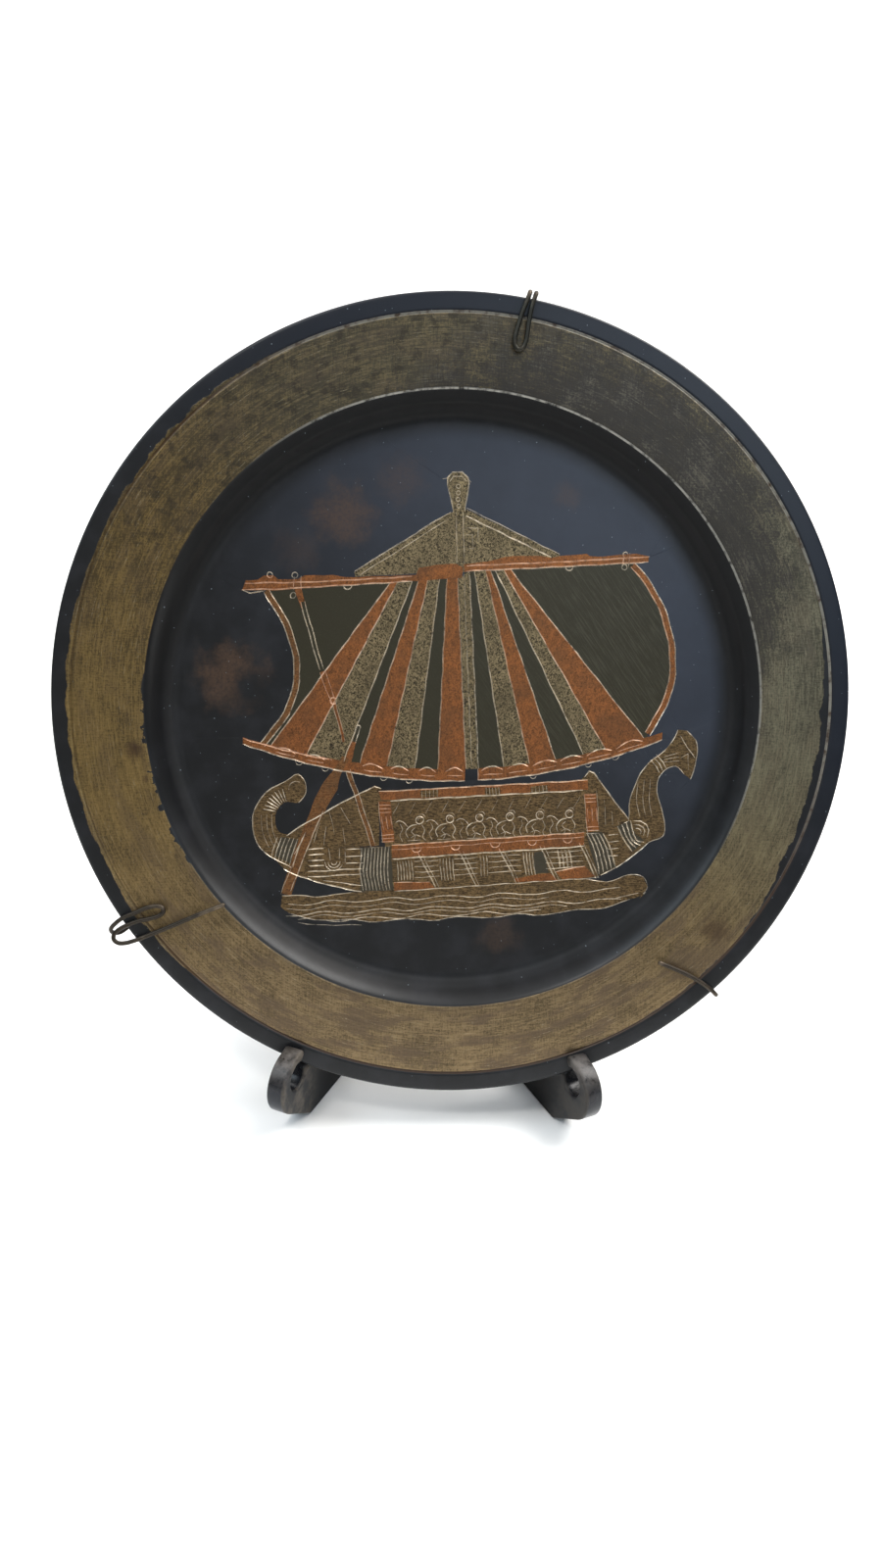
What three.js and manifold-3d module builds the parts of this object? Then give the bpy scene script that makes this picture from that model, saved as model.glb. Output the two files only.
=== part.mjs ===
// A round engraved metal plate with a bent-wire hanger, standing in a two-sided display stand.
// Millimetres, +Z up. The front faces -Y. The origin is on the table, under the middle of the whole part.
import * as THREE from 'three';
import { mergeVertices } from 'three/addons/utils/BufferGeometryUtils.js';
import Module from 'manifold-3d';

// ---- driving dimensions ----
const GAP = 0.3;                                  // air kept between pieces that touch
const LEAN = THREE.MathUtils.degToRad(17);        // the plate leans back from upright

const PLATE_RADIUS = 85;
const SHEET = 1.3;                                // thickness of the metal
const BAND_OUTER = 80.8;                          // turned groove between the band and the lip
const WELL_EDGE = 65.7;                           // crisp inner edge of the band
const FLOOR_RADIUS = 60.5;
const WELL_DEPTH = 6;
const BACK_INSET = 0.4;                            // the floor's back is this much smaller than its front
const GROOVE_HALF = 0.35;                         // half the turned groove's width
const GROOVE_DEPTH = 0.3;
const PLATE_SIDES = 72;
const RIM_TO_TABLE = 10.3;                        // lowest point of the rim above the table

const SHIP_TURN = THREE.MathUtils.degToRad(4);    // the ship is turned a little in the plate
const LINE_WIDTH = 0.7;                           // engraved lines
const LINE_DEPTH = 0.3;

const WIRE_DIAMETER = 1;
const WIRE_SIDES = 8;
const WIRE_STEPS = 2;                             // steps between two route points

const STAND_SPREAD = 29.2;                        // hook to the stand's middle plane, at the hook's tip
const STAND_SHIFT = -1.3;                         // the stand's middle, left of the plate's middle
const STAND_TURN = THREE.MathUtils.degToRad(24.75); // each side's turn from straight back
const STAND_THICKNESS = 4.2;
const HOOK_TIP_AHEAD = 24.5;                      // hook's tip, in front of the plate's centre

const CENTRE_HEIGHT = RIM_TO_TABLE + PLATE_RADIUS * Math.cos(LEAN);
const BACK_OF_FLOOR = WELL_DEPTH + SHEET;

// ---- solids: closed meshes joined and cut ----
const wasm = await Module();
wasm.setup();

/** Closed three.js geometry to a manifold solid, with triangles that collapse on the axis left out. */
function toSolid(geometry) {
  const bare = geometry.clone();
  bare.deleteAttribute('normal');
  bare.deleteAttribute('uv');
  const merged = mergeVertices(bare, 1e-4);
  const index = merged.index.array;
  const triangles = [];
  for (let i = 0; i < index.length; i += 3) {
    const [a, b, c] = [index[i], index[i + 1], index[i + 2]];
    if (a !== b && b !== c && c !== a) triangles.push(a, b, c);
  }
  return new wasm.Manifold(new wasm.Mesh({
    numProp: 3,
    vertProperties: Float32Array.from(merged.attributes.position.array),
    triVerts: Uint32Array.from(triangles),
  }));
}

/** Manifold solid back to a three.js geometry. */
function toGeometry(solid) {
  const mesh = solid.getMesh();
  const geometry = new THREE.BufferGeometry();
  geometry.setAttribute('position', new THREE.BufferAttribute(Float32Array.from(mesh.vertProperties), 3));
  geometry.setIndex(Array.from(mesh.triVerts));
  geometry.computeVertexNormals();
  return geometry;
}

/** Profile of [radius, depth behind the front plane], turned about the plate's axis. */
function turned(profile, sides) {
  const points = profile.map(([radius, depth]) => new THREE.Vector2(radius, depth));
  return new THREE.LatheGeometry(points, sides);
}

// ---- the plate ----
/** Quarter of an ellipse from the floor's edge up to the well's edge, dished like a spun plate. */
function wellWall(fromRadius, toRadius, fromDepth, toDepth, steps) {
  const points = [];
  for (let i = 0; i <= steps; i += 1) {
    const angle = (i / steps) * (Math.PI / 2);
    points.push([
      fromRadius + (toRadius - fromRadius) * Math.sin(angle),
      toDepth + (fromDepth - toDepth) * Math.cos(angle),
    ]);
  }
  return points;
}

/** Section of the plate, from the middle of the floor's front out to the rim and back behind. */
function plateProfile() {
  const round = SHEET / 2;
  const flat = SHEET * 0.3;
  return [
    [0, WELL_DEPTH],
    ...wellWall(FLOOR_RADIUS, WELL_EDGE, WELL_DEPTH, 0, 4),
    [BAND_OUTER - GROOVE_HALF, 0],
    [BAND_OUTER, GROOVE_DEPTH],
    [BAND_OUTER + GROOVE_HALF, 0],
    [PLATE_RADIUS - round, 0],
    [PLATE_RADIUS, (SHEET - flat) / 2],
    [PLATE_RADIUS, (SHEET + flat) / 2],
    [PLATE_RADIUS - round, SHEET],
    ...wellWall(FLOOR_RADIUS - BACK_INSET, WELL_EDGE + SHEET, BACK_OF_FLOOR, SHEET, 3).reverse(),
    [0, BACK_OF_FLOOR],
  ];
}

// ---- the ship, in its own frame: x to the right, y up, from the plate's centre ----
const SHIP = {
  mastX: 2.5, mastTop: 41, mastHalf: 0.75, headTop: 49, headHalf: 2.4, stayLeft: -20.3, stayRight: 24.2,
  yardLeft: -43.5, yardRight: 43, yardHeight: 28.4, yardRise: 0.025, yardHalf: 1.15,
  footLow: -13.8, footRise: 5.7, footReach: 41,
  lowerLow: -16.2, lowerRise: 9.2, lowerReach: 47, lowerLeft: -45.6, lowerRight: 45.4,
  scallop: 5.6, scallopDrop: 0.7,
  sailMiddle: 8, sailHalf: 20,
  leechLeft: -33.5, leechRight: 48.6, leechSag: 8,
  deckTop: -17.7, deckLow: -19.6, deckLeft: -17.1, deckRight: 29.3,
  railTop: -29.9, railLow: -32.1, railLeft: -14.4, railRight: 28, railRise: 0.9,
  rowers: 6, rowerHead: -23.6, rowerHeadRadius: 1.15, rowerHip: -28.6,
  oars: 5, oarStart: -8.6, oarPitch: 8.9, oarRake: 3.6,
  keel: -40.7, keelRise: 1.3,
  seaLeft: -38.5, seaRight: 42, seaTop: -40.6, seaDepth: 7, waveLength: 13,
};

const yardLine = (x) => SHIP.yardHeight + SHIP.yardRise * x;
const footLine = (x) => SHIP.footLow + SHIP.footRise * ((x - SHIP.mastX) / SHIP.footReach) ** 2;
const lowerLine = (x) => SHIP.lowerLow + SHIP.lowerRise * ((x - SHIP.mastX) / SHIP.lowerReach) ** 2;
const leech = (x, y) => x - SHIP.leechSag * ((y - SHIP.sailMiddle) / SHIP.sailHalf) ** 2;

/** Points along x from a to b on the curve y = line(x). */
function along(a, b, steps, line) {
  return Array.from({ length: steps + 1 }, (_, i) => {
    const x = THREE.MathUtils.lerp(a, b, i / steps);
    return [x, line(x)];
  });
}

/** Smooth run through a few shape points. */
function smooth(points, steps) {
  const curve = new THREE.SplineCurve(points.map(([x, y]) => new THREE.Vector2(x, y)));
  return curve.getPoints(steps).map((p) => [p.x, p.y]);
}

/** The sail's stripes: edges fan out from the yard beside the mast down to the sail's foot. */
function fanEdges(topStart, topWidths, footStart, footWidths, side) {
  const edges = [];
  let top = topStart;
  let foot = footStart;
  for (let i = 0; i <= topWidths.length; i += 1) {
    edges.push([[top, yardLine(top) - SHIP.yardHalf], [foot, footLine(foot)]]);
    top += side * (topWidths[i] ?? 0);
    foot += side * (footWidths[i] ?? 0);
  }
  return edges;
}

const FAN_LEFT = fanEdges(1.6, [1.7, 0.9, 2.7, 1.5, 1, 4, 2], 2.5, [6.2, 5.5, 5.7, 5.9, 2.6, 9.2, 6.6], -1);
const FAN_RIGHT = fanEdges(3.8, [1, 2.4, 1.4, 1.2, 2.2, 2.2], 5, [5.7, 5.8, 5.8, 6.2, 5.4, 7.6], 1);

function sailLines() {
  const { yardLeft, yardRight, yardHalf, sailMiddle, sailHalf, lowerLeft, lowerRight } = SHIP;
  const upright = (x) => Array.from({ length: 9 }, (_, i) => {
    const y = THREE.MathUtils.lerp(sailMiddle + sailHalf - 1, sailMiddle - sailHalf + 4, i / 8);
    return [leech(x, y), y];
  });
  const scallops = along(lowerLeft, lowerRight, 48, (x) => {
    const bulge = Math.abs(Math.sin((Math.PI * (x - lowerLeft)) / SHIP.scallop));
    return lowerLine(x) - SHIP.scallopDrop * bulge;
  });
  return [
    { points: [
      [yardLeft, yardLine(yardLeft) - yardHalf], [yardRight, yardLine(yardRight) - yardHalf],
      [yardRight, yardLine(yardRight) + yardHalf], [yardLeft, yardLine(yardLeft) + yardHalf],
    ], closed: true },
    { points: upright(SHIP.leechLeft) },
    { points: upright(SHIP.leechRight) },
    { points: along(lowerLeft, lowerRight, 18, footLine) },
    { points: scallops },
    ...[...FAN_LEFT, ...FAN_RIGHT].map((points) => ({ points })),
  ];
}

function mastLines() {
  const { mastX, mastTop, mastHalf, headTop, headHalf, stayLeft, stayRight } = SHIP;
  const foot = yardLine(mastX) + SHIP.yardHalf;
  return [
    { points: [
      [mastX - mastHalf, foot], [mastX - mastHalf, mastTop], [mastX - headHalf * 0.5, mastTop + 1],
      [mastX - headHalf, headTop - 1.6], [mastX, headTop], [mastX + headHalf, headTop - 1.6],
      [mastX + headHalf * 0.5, mastTop + 1], [mastX + mastHalf, mastTop], [mastX + mastHalf, foot],
    ] },
    { points: [[mastX - mastHalf, mastTop], [stayLeft, yardLine(stayLeft) + SHIP.yardHalf]] },
    { points: [[mastX + mastHalf, mastTop], [stayRight, yardLine(stayRight) + SHIP.yardHalf]] },
  ];
}

/** Generic rowers: a round head over a leaning body, repeated along the deck. */
function rowerLines() {
  const { rowers, rowerHead, rowerHeadRadius, rowerHip } = SHIP;
  const lines = [];
  const sides = 6;
  const [first, last] = [SHIP.deckLeft + 6.5, SHIP.deckRight - 5];
  for (let i = 0; i < rowers; i += 1) {
    const x = THREE.MathUtils.lerp(first, last, i / (rowers - 1));
    const head = Array.from({ length: sides }, (_, k) => {
      const angle = (k / sides) * 2 * Math.PI;
      return [x + rowerHeadRadius * Math.cos(angle), rowerHead + rowerHeadRadius * Math.sin(angle)];
    });
    const shoulder = [x - 0.4, rowerHead - 1.4];
    lines.push({ points: head, closed: true });
    lines.push({ points: [shoulder, [x - 1.6, rowerHip]] });
    lines.push({ points: [[x - 0.2, rowerHead - 2], [x + 3, rowerHip + 1.4]] });
  }
  return lines;
}

function hullLines() {
  const { deckTop, deckLow, deckLeft, deckRight, railTop, railLow, railLeft, railRight, railRise } = SHIP;
  const { keel, keelRise } = SHIP;
  const lines = [
    // stern: bent-over finial, round outer and inner edges, then the castle's slope to the deck
    { points: smooth([[-41.6, -15.6], [-38.6, -13.9], [-33.8, -14], [-32.2, -17.2], [-34.4, -19.8],
      [-37.6, -20.6], [-39.8, -23.5], [-39, -26.4], [-37, -26.9]], 18) },
    { points: smooth([[-41.6, -15.6], [-41.4, -19.6], [-43.6, -23], [-44.6, -27], [-42.8, -31], [-38, -34.7],
      [-30, -38.6], [-21.7, keel]], 16) },
    { points: [[-37, -26.9], [-26.5, -21.1], [deckLeft, deckTop]] },
    // bow: castle slope, post rising to a flared finial, round forefoot
    { points: [[deckRight, deckTop + 2], [38, -26.5]] },
    { points: smooth([[38, -26.5], [39.3, -19], [41.7, -15], [45.5, -12.1], [48.5, -7]], 8) },
    { points: [[48.5, -7], [51.4, -11.2], [53.7, -18.1]] },
    { points: smooth([[53.7, -18.1], [48.6, -16], [45, -17.3], [44.4, -21], [46.4, -26.8], [45.4, -30.6],
      [39.3, -34.6], [31.1, -39.4]], 16) },
    // deck beam, rail and keel
    { points: [[deckLeft, deckTop], [deckRight, deckTop], [deckRight, deckLow], [deckLeft, deckLow]],
      closed: true },
    { points: [
      [railLeft, railTop], [railRight, railTop + railRise],
      [railRight, railLow + railRise], [railLeft, railLow],
    ], closed: true },
    { points: [[-21.7, keel], [-14.5, keel], [31.1, keel + keelRise]] },
    // end posts of the deckhouse
    { points: [[deckLeft, deckLow], [deckLeft + 1.4, railTop]] },
    { points: [[deckLeft + 2.4, deckLow], [deckLeft + 3.6, railTop]] },
    { points: [[deckRight - 1.6, deckLow], [deckRight - 0.6, railTop + railRise]] },
    { points: [[deckRight + 1.4, deckLow], [deckRight + 2.6, railTop + 2]] },
    // rope lashing round the hull and bands at the bow
    ...[-21, -19.4, -17.8].map((x) => ({ points: [[x, -31], [x + 0.6, -40]] })),
    ...[31.4, 35, 38.6].map((x) => ({
      points: [[x, -28.2 - (x - 31) * 0.1], [x + 0.8, -37.6 + (x - 31) * 0.4]],
    })),
  ];
  for (let i = 0; i < SHIP.oars; i += 1) {
    const x = SHIP.oarStart + SHIP.oarPitch * i;
    const water = keel + LINE_WIDTH + (keelRise * i) / SHIP.oars;
    lines.push({ points: [[x, railLow - LINE_WIDTH], [x + SHIP.oarRake, water]] });
  }
  return lines;
}

function steeringLines() {
  return [
    { points: [[-25.6, -9.6], [-23.9, -10.2], [-36.6, -41], [-39.6, -40.8]], closed: true },
    { points: [[-22.8, -3.9], [-21.9, -9], [-18.7, -30.4]] },
    { points: [[-32.5, 26.5], [-27.5, 7.4], [-23.9, -6.6]] },
  ];
}

function seaLines() {
  const { seaLeft, seaRight, seaTop, seaDepth, waveLength } = SHIP;
  const middle = (seaLeft + seaRight) / 2;
  const wave = (x, size) => size * Math.sin((2 * Math.PI * (x - seaLeft)) / waveLength);
  const bottom = (x) => seaTop - seaDepth + 2.8 * ((x - middle) / 40) ** 4 + wave(x, 0.35);
  const top = (x) => seaTop + 1.3 * ((x - middle) / 40) ** 3 + wave(x + 5, 0.4);
  const outline = [
    ...along(seaLeft + 1.5, seaRight - 1.5, 18, bottom),
    ...along(seaRight, seaLeft, 18, top),
  ];
  const inner = [0.35, 0.68].map((share) => ({
    points: along(seaLeft + 3, seaRight - 3, 22, (x) => (
      THREE.MathUtils.lerp(top(x), bottom(x), share) + wave(x + 3, 0.35)
    )),
  }));
  return [{ points: outline, closed: true }, ...inner];
}

/** One edge of an engraved line: the points moved sideways, mitred at the corners. */
function sideOf(points, offset, closed) {
  return points.map((point, i) => {
    const last = points.length - 1;
    const before = points[i > 0 ? i - 1 : (closed ? last : i)];
    const after = points[i < last ? i + 1 : (closed ? 0 : i)];
    const here = new THREE.Vector2(...point);
    const incoming = here.clone().sub(new THREE.Vector2(...before)).normalize();
    const outgoing = new THREE.Vector2(...after).sub(here).normalize();
    const direction = incoming.clone().add(outgoing).normalize();
    const run = incoming.lengthSq() > 0 ? incoming : outgoing;
    const tightest = 0.5;
    const squareness = Math.max(direction.dot(run), tightest);
    return new THREE.Vector2(-direction.y, direction.x).multiplyScalar(offset / squareness).add(here);
  });
}

/** Engraved line as a cutter that reaches from just in front of the plate's floor to the line's bottom. */
function lineCutter({ points, closed = false }) {
  const left = sideOf(points, LINE_WIDTH / 2, closed);
  const right = sideOf(points, -LINE_WIDTH / 2, closed);
  let shape;
  if (closed) {
    const rings = [left, right].map((ring) => (THREE.ShapeUtils.isClockWise(ring) ? ring.reverse() : ring));
    rings.sort((a, b) => THREE.ShapeUtils.area(b) - THREE.ShapeUtils.area(a));
    shape = new THREE.Shape(rings[0]);
    shape.holes.push(new THREE.Path(rings[1]));
  } else {
    shape = new THREE.Shape([...left, ...right.reverse()]);
  }
  const cover = 1;
  const geometry = new THREE.ExtrudeGeometry(shape, { depth: LINE_DEPTH + cover, bevelEnabled: false });
  geometry.rotateX(Math.PI / 2);
  geometry.rotateY(-SHIP_TURN);
  geometry.translate(0, WELL_DEPTH + LINE_DEPTH, 0);
  return toSolid(geometry);
}

function makePlate() {
  const blank = toSolid(turned(plateProfile(), PLATE_SIDES));
  const lines = [
    ...sailLines(), ...mastLines(), ...hullLines(), ...rowerLines(), ...steeringLines(), ...seaLines(),
  ];
  const cutters = wasm.Manifold.union(lines.map(lineCutter));
  return toGeometry(blank.subtract(cutters));
}

// ---- the hanging wire: route points are [degrees round the rim, radius, height over the front plane] ----
const overRim = (degrees) => [[86, 0.3], [86.3, -0.7], [85.4, -1.9], [82.5, -2.5]].map(
  ([radius, height]) => [degrees, radius, height],
);
const LOWER_RIGHT_CLAW = [
  [-49.1, 71.7, 1.5], [-47.6, 75.5, 1.2], [-46.4, 79.5, 1], [-45.7, 83.5, 0.95], ...overRim(-45.6),
];
const TOP_CLAW = [
  ...overRim(80.3).reverse(),
  [80.7, 83.4, 0.95], [81.2, 80.4, 0.95], [81.2, 75.9, 0.95], [81.6, 74.7, 0.95], [82.15, 74.3, 0.95],
  [82.7, 74.7, 0.95], [83.05, 75.9, 0.95], [83.1, 80.3, 0.95], [82.5, 83.4, 0.95],
  ...overRim(81.6),
];
const LOWER_LEFT_CLAW = [
  [-144, 82.5, -2.5], [-144, 85.3, -2.2], [-144, 87.2, -1.9], [-144.3, 88.1, -1.4], [-144.8, 88.4, -0.7],
  [-145.3, 87.8, 0.2], [-145.6, 86.2, 0.85], [-145.7, 84, 1], [-145.4, 81.6, 1], [-145, 78.5, 1],
  [-144.4, 76.6, 1], [-143.7, 75.9, 1], [-143.1, 76.2, 1], [-142.9, 77.3, 1], [-143.3, 79.2, 1],
  [-144, 81.6, 1], [-144.4, 83.8, 1], [-144.6, 86, 0.95], [-144.4, 87.8, 0.95], [-143.8, 88.5, 0.95],
  [-143.1, 88.2, 0.95], [-142.5, 87, 0.95], [-142, 85, 1], [-141.3, 81.2, 1.1], [-140.6, 77.5, 1.3],
  [-139.2, 70.3, 2.2], [-137.8, 64.8, 3],
];

/** Straight run across the back, held clear of the well. */
function backRun(from, to, shares) {
  const clearOfWell = BACK_OF_FLOOR + WIRE_DIAMETER;
  return shares.map((share) => {
    const point = rimPoint(from).lerp(rimPoint(to), share);
    point.y = clearOfWell;
    return point;
  });
}

function rimPoint([degrees, radius, height]) {
  const angle = THREE.MathUtils.degToRad(degrees);
  return new THREE.Vector3(radius * Math.cos(angle), -height, radius * Math.sin(angle));
}

/** A route whose steps follow its points, so that tight bends get short steps. */
class WireRoute extends THREE.CatmullRomCurve3 {
  getPointAt(t, target) { return this.getPoint(t, target); }

  getTangentAt(t, target) { return this.getTangent(t, target); }
}

function makeWire() {
  const rightEnd = LOWER_RIGHT_CLAW.at(-1);
  const leftStart = LOWER_LEFT_CLAW[0];
  const points = [
    ...LOWER_RIGHT_CLAW.map(rimPoint),
    ...backRun(rightEnd, TOP_CLAW[0], [0.14, 0.5, 0.86]),
    ...TOP_CLAW.map(rimPoint),
    ...backRun(TOP_CLAW.at(-1), leftStart, [0.12, 0.5, 0.88]),
    ...LOWER_LEFT_CLAW.map(rimPoint),
  ];
  const section = new THREE.Shape(Array.from({ length: WIRE_SIDES }, (_, i) => {
    const angle = (i / WIRE_SIDES) * 2 * Math.PI;
    return new THREE.Vector2(Math.cos(angle), Math.sin(angle)).multiplyScalar(WIRE_DIAMETER / 2);
  }));
  return new THREE.ExtrudeGeometry(section, {
    steps: (points.length - 1) * WIRE_STEPS,
    extrudePath: new WireRoute(points, false, 'centripetal'),
  });
}

// ---- the stand: each side is drawn as [length to the rear, height] from under its hook's tip ----
const HOOK = { centre: [-1.2, 12.4], radius: 7.1, inner: [-1.6, 14.4], innerRadius: 3.3, tipHeight: 20 };
const SIDE = {
  toe: 3.2, rear: 73, rearHeight: 26, top: 80, width: 7.5, base: 8,
  seat: 15.8, seatBack: 19, openingTop: 62, openingLow: 14, openingRear: 60, openingRearHeight: 19,
};

/** How far back the upright's front edge is at a height, along the side, just behind the plate's well. */
function uprightFront(height) {
  const behind = (BACK_OF_FLOOR + GAP) / Math.cos(LEAN);
  const back = (height - CENTRE_HEIGHT) * Math.tan(LEAN) + behind;
  return (back + HOOK_TIP_AHEAD) / Math.cos(STAND_TURN);
}

function sideOutline() {
  const { centre, radius, inner, innerRadius, tipHeight } = HOOK;
  const { toe, rear, rearHeight, top, width, base, seat, seatBack } = SIDE;
  const rad = THREE.MathUtils.degToRad;
  const shape = new THREE.Shape();
  shape.moveTo(toe, 0);
  shape.lineTo(rear, 0);
  shape.lineTo(rear, rearHeight);
  // rounded top of the upright, then down its front to the seat
  const shoulder = top - 3;
  shape.lineTo(uprightFront(top) + width + 1.5, shoulder);
  shape.quadraticCurveTo(uprightFront(top) + width / 2, top + 3, uprightFront(shoulder), shoulder);
  shape.lineTo(uprightFront(seatBack), seatBack);
  shape.quadraticCurveTo(uprightFront(seatBack) - 1.5, seat + 0.8, 7.5, seat + 0.6);
  shape.lineTo(1.6, seat);
  // the hook: inside curve up to the tip, then round the outside to the toe
  shape.lineTo(inner[0] + innerRadius * Math.cos(rad(-20)), inner[1] + innerRadius * Math.sin(rad(-20)));
  shape.absarc(inner[0], inner[1], innerRadius, rad(-20), rad(-300), true);
  shape.lineTo(1.2, tipHeight - 1);
  shape.lineTo(0, tipHeight);
  shape.absarc(centre[0], centre[1], radius, rad(98), rad(233), false);
  shape.closePath();
  shape.holes.push(sideOpening());
  return shape;
}

/** The tall three-cornered opening between the upright, the base and the sloping back strut. */
function sideOpening() {
  const { base, width, openingTop, openingLow, openingRear, openingRearHeight } = SIDE;
  const frontEdge = (height) => uprightFront(height) + width;
  const opening = new THREE.Path();
  opening.moveTo(frontEdge(base) + 4, base);
  opening.quadraticCurveTo(frontEdge(base) - 1.5, base, frontEdge(openingLow), openingLow);
  opening.lineTo(frontEdge(openingTop), openingTop);
  opening.lineTo(openingRear, openingRearHeight);
  opening.quadraticCurveTo(openingRear + 3.5, base + 2, openingRear - 2, base);
  opening.closePath();
  return opening;
}

const plateMatrix = new THREE.Matrix4().makeRotationX(-LEAN).setPosition(0, 0, CENTRE_HEIGHT);

/** One side of the stand; side is -1 for the left one and 1 for the right one. */
function makeStandSide(side) {
  const geometry = new THREE.ExtrudeGeometry(sideOutline(), {
    depth: STAND_THICKNESS, bevelEnabled: false, curveSegments: 10,
  });
  if (side < 0) geometry.translate(0, 0, -STAND_THICKNESS);
  const mesh = new THREE.Mesh(geometry, standFinish);
  mesh.rotation.set(Math.PI / 2, 0, Math.PI / 2 + side * STAND_TURN, 'ZYX');
  mesh.position.set(STAND_SHIFT + side * STAND_SPREAD, -HOOK_TIP_AHEAD, 0);
  mesh.updateMatrix();

  // room for the rim in the seat, and the mitre where the two sides meet at the rear
  const toSide = mesh.matrix.clone().invert();
  const [inside, outside] = [PLATE_RADIUS - 15, PLATE_RADIUS + GAP];
  const [ahead, behind] = [-GAP, SHEET + GAP];
  const rimRoom = turned([
    [inside, ahead], [outside, ahead], [outside, behind], [inside, behind], [inside, ahead],
  ], PLATE_SIDES * 2);
  rimRoom.applyMatrix4(plateMatrix);
  rimRoom.applyMatrix4(toSide);
  const reach = 100;
  const beyondMiddle = new THREE.BoxGeometry(reach, reach, 2 * reach);
  beyondMiddle.translate(STAND_SHIFT - (side * (reach - GAP)) / 2, reach / 2, 0);
  beyondMiddle.applyMatrix4(toSide);
  mesh.geometry = toGeometry(toSolid(geometry).subtract(toSolid(rimRoom)).subtract(toSolid(beyondMiddle)));
  return mesh;
}

// ---- finishes ----
const plateFinish = new THREE.MeshStandardMaterial({ color: 0x6b5c3c, roughness: 0.5, metalness: 0.8 });
const wireFinish = new THREE.MeshStandardMaterial({ color: 0x4a4038, roughness: 0.4, metalness: 0.9 });
const standFinish = new THREE.MeshStandardMaterial({ color: 0x1b1d20, roughness: 0.45, metalness: 0 });

// ---- the whole part ----
const leaning = new THREE.Group();
leaning.rotation.x = -LEAN;
leaning.position.z = CENTRE_HEIGHT;
const plate = new THREE.Mesh(makePlate(), plateFinish);
plate.name = 'plate';
const wire = new THREE.Mesh(makeWire(), wireFinish);
wire.name = 'hanging_wire';
leaning.add(plate, wire);

const stand = new THREE.Group();
const leftSide = makeStandSide(-1);
leftSide.name = 'stand_side_left';
const rightSide = makeStandSide(1);
rightSide.name = 'stand_side_right';
stand.add(leftSide, rightSide);

const placed = new THREE.Group();
placed.add(leaning, stand);
placed.updateMatrixWorld(true);
const extent = new THREE.Box3().setFromObject(placed, true);
const middle = extent.getCenter(new THREE.Vector3());
placed.position.set(-middle.x, -middle.y, -extent.min.z);

const group = new THREE.Group();
group.add(placed);

export default group;
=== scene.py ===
"""A round engraved plate with a bent-wire hanger, standing in its black stand.

Metres, +Z up, the engraved front faces -Y. The drawing on the plate and the sections of the pieces are set
out in millimetres and brought to metres when they are put in place.
"""

import math

import bmesh
import bpy
import numpy as np
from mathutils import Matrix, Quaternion, Vector
from mathutils.geometry import delaunay_2d_cdt


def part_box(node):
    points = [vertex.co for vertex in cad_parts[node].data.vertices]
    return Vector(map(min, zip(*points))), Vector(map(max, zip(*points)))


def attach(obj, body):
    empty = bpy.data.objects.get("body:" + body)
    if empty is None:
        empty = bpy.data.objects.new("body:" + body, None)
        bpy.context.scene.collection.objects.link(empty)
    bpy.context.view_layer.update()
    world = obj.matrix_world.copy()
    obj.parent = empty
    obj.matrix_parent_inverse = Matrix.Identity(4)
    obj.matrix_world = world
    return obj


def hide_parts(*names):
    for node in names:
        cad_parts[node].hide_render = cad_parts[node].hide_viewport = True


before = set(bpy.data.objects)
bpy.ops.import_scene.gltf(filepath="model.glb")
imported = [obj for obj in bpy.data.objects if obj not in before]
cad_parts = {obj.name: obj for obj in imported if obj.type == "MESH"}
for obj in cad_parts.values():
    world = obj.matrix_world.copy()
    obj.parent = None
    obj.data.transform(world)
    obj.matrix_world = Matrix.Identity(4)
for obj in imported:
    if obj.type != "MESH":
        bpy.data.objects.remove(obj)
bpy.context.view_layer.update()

MM = 0.001
LEAN = math.radians(17)          # the plate leans back from upright
SHEET = 1.3                      # thickness of the plate's metal

# ---- places read from the frame ----
plate_low, plate_high = (np.array(corner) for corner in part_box("plate"))
left_high = np.array(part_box("stand_side_left")[1])
right_low, right_high = (np.array(corner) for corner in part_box("stand_side_right"))

PLATE_RADIUS = (plate_high[0] - plate_low[0]) / 2 / MM
DEPTH_WAY = np.array([0, math.cos(LEAN), -math.sin(LEAN)])     # straight back through the plate
UP_WAY = np.array([0, math.sin(LEAN), math.cos(LEAN)])         # up along the plate's face
PLATE_CENTRE = (plate_low + plate_high) / 2 - DEPTH_WAY * SHEET / 2 * MM


def on_plate(points):
    """Plate places [right, depth behind the front plane, up], in mm, to metres in the shared frame."""
    points = np.asarray(points, float) * MM
    return PLATE_CENTRE + points[:, :1] * [1, 0, 0] + points[:, 1:2] * DEPTH_WAY + points[:, 2:] * UP_WAY


# ---- camera ----
CAMERA_PLACE = (-0.01343, -0.24076, 0.17912)
CAMERA_AIM = (0.0437, 0.9115, -0.4090)
CAMERA_ROLL = math.radians(2.95)
CAMERA_LENS = 48.12              # on a 36 mm wide frame


def add_camera():
    data = bpy.data.cameras.new("camera")
    data.sensor_fit = "HORIZONTAL"
    data.sensor_width = 36
    data.lens = CAMERA_LENS
    data.clip_start = 0.005
    camera = bpy.data.objects.new("camera", data)
    level = Vector(CAMERA_AIM).to_track_quat("-Z", "Y")
    camera.rotation_mode = "QUATERNION"
    camera.rotation_quaternion = level @ Quaternion((0, 0, 1), CAMERA_ROLL)
    camera.location = CAMERA_PLACE
    bpy.context.scene.collection.objects.link(camera)
    bpy.context.scene.camera = camera


add_camera()


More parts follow.
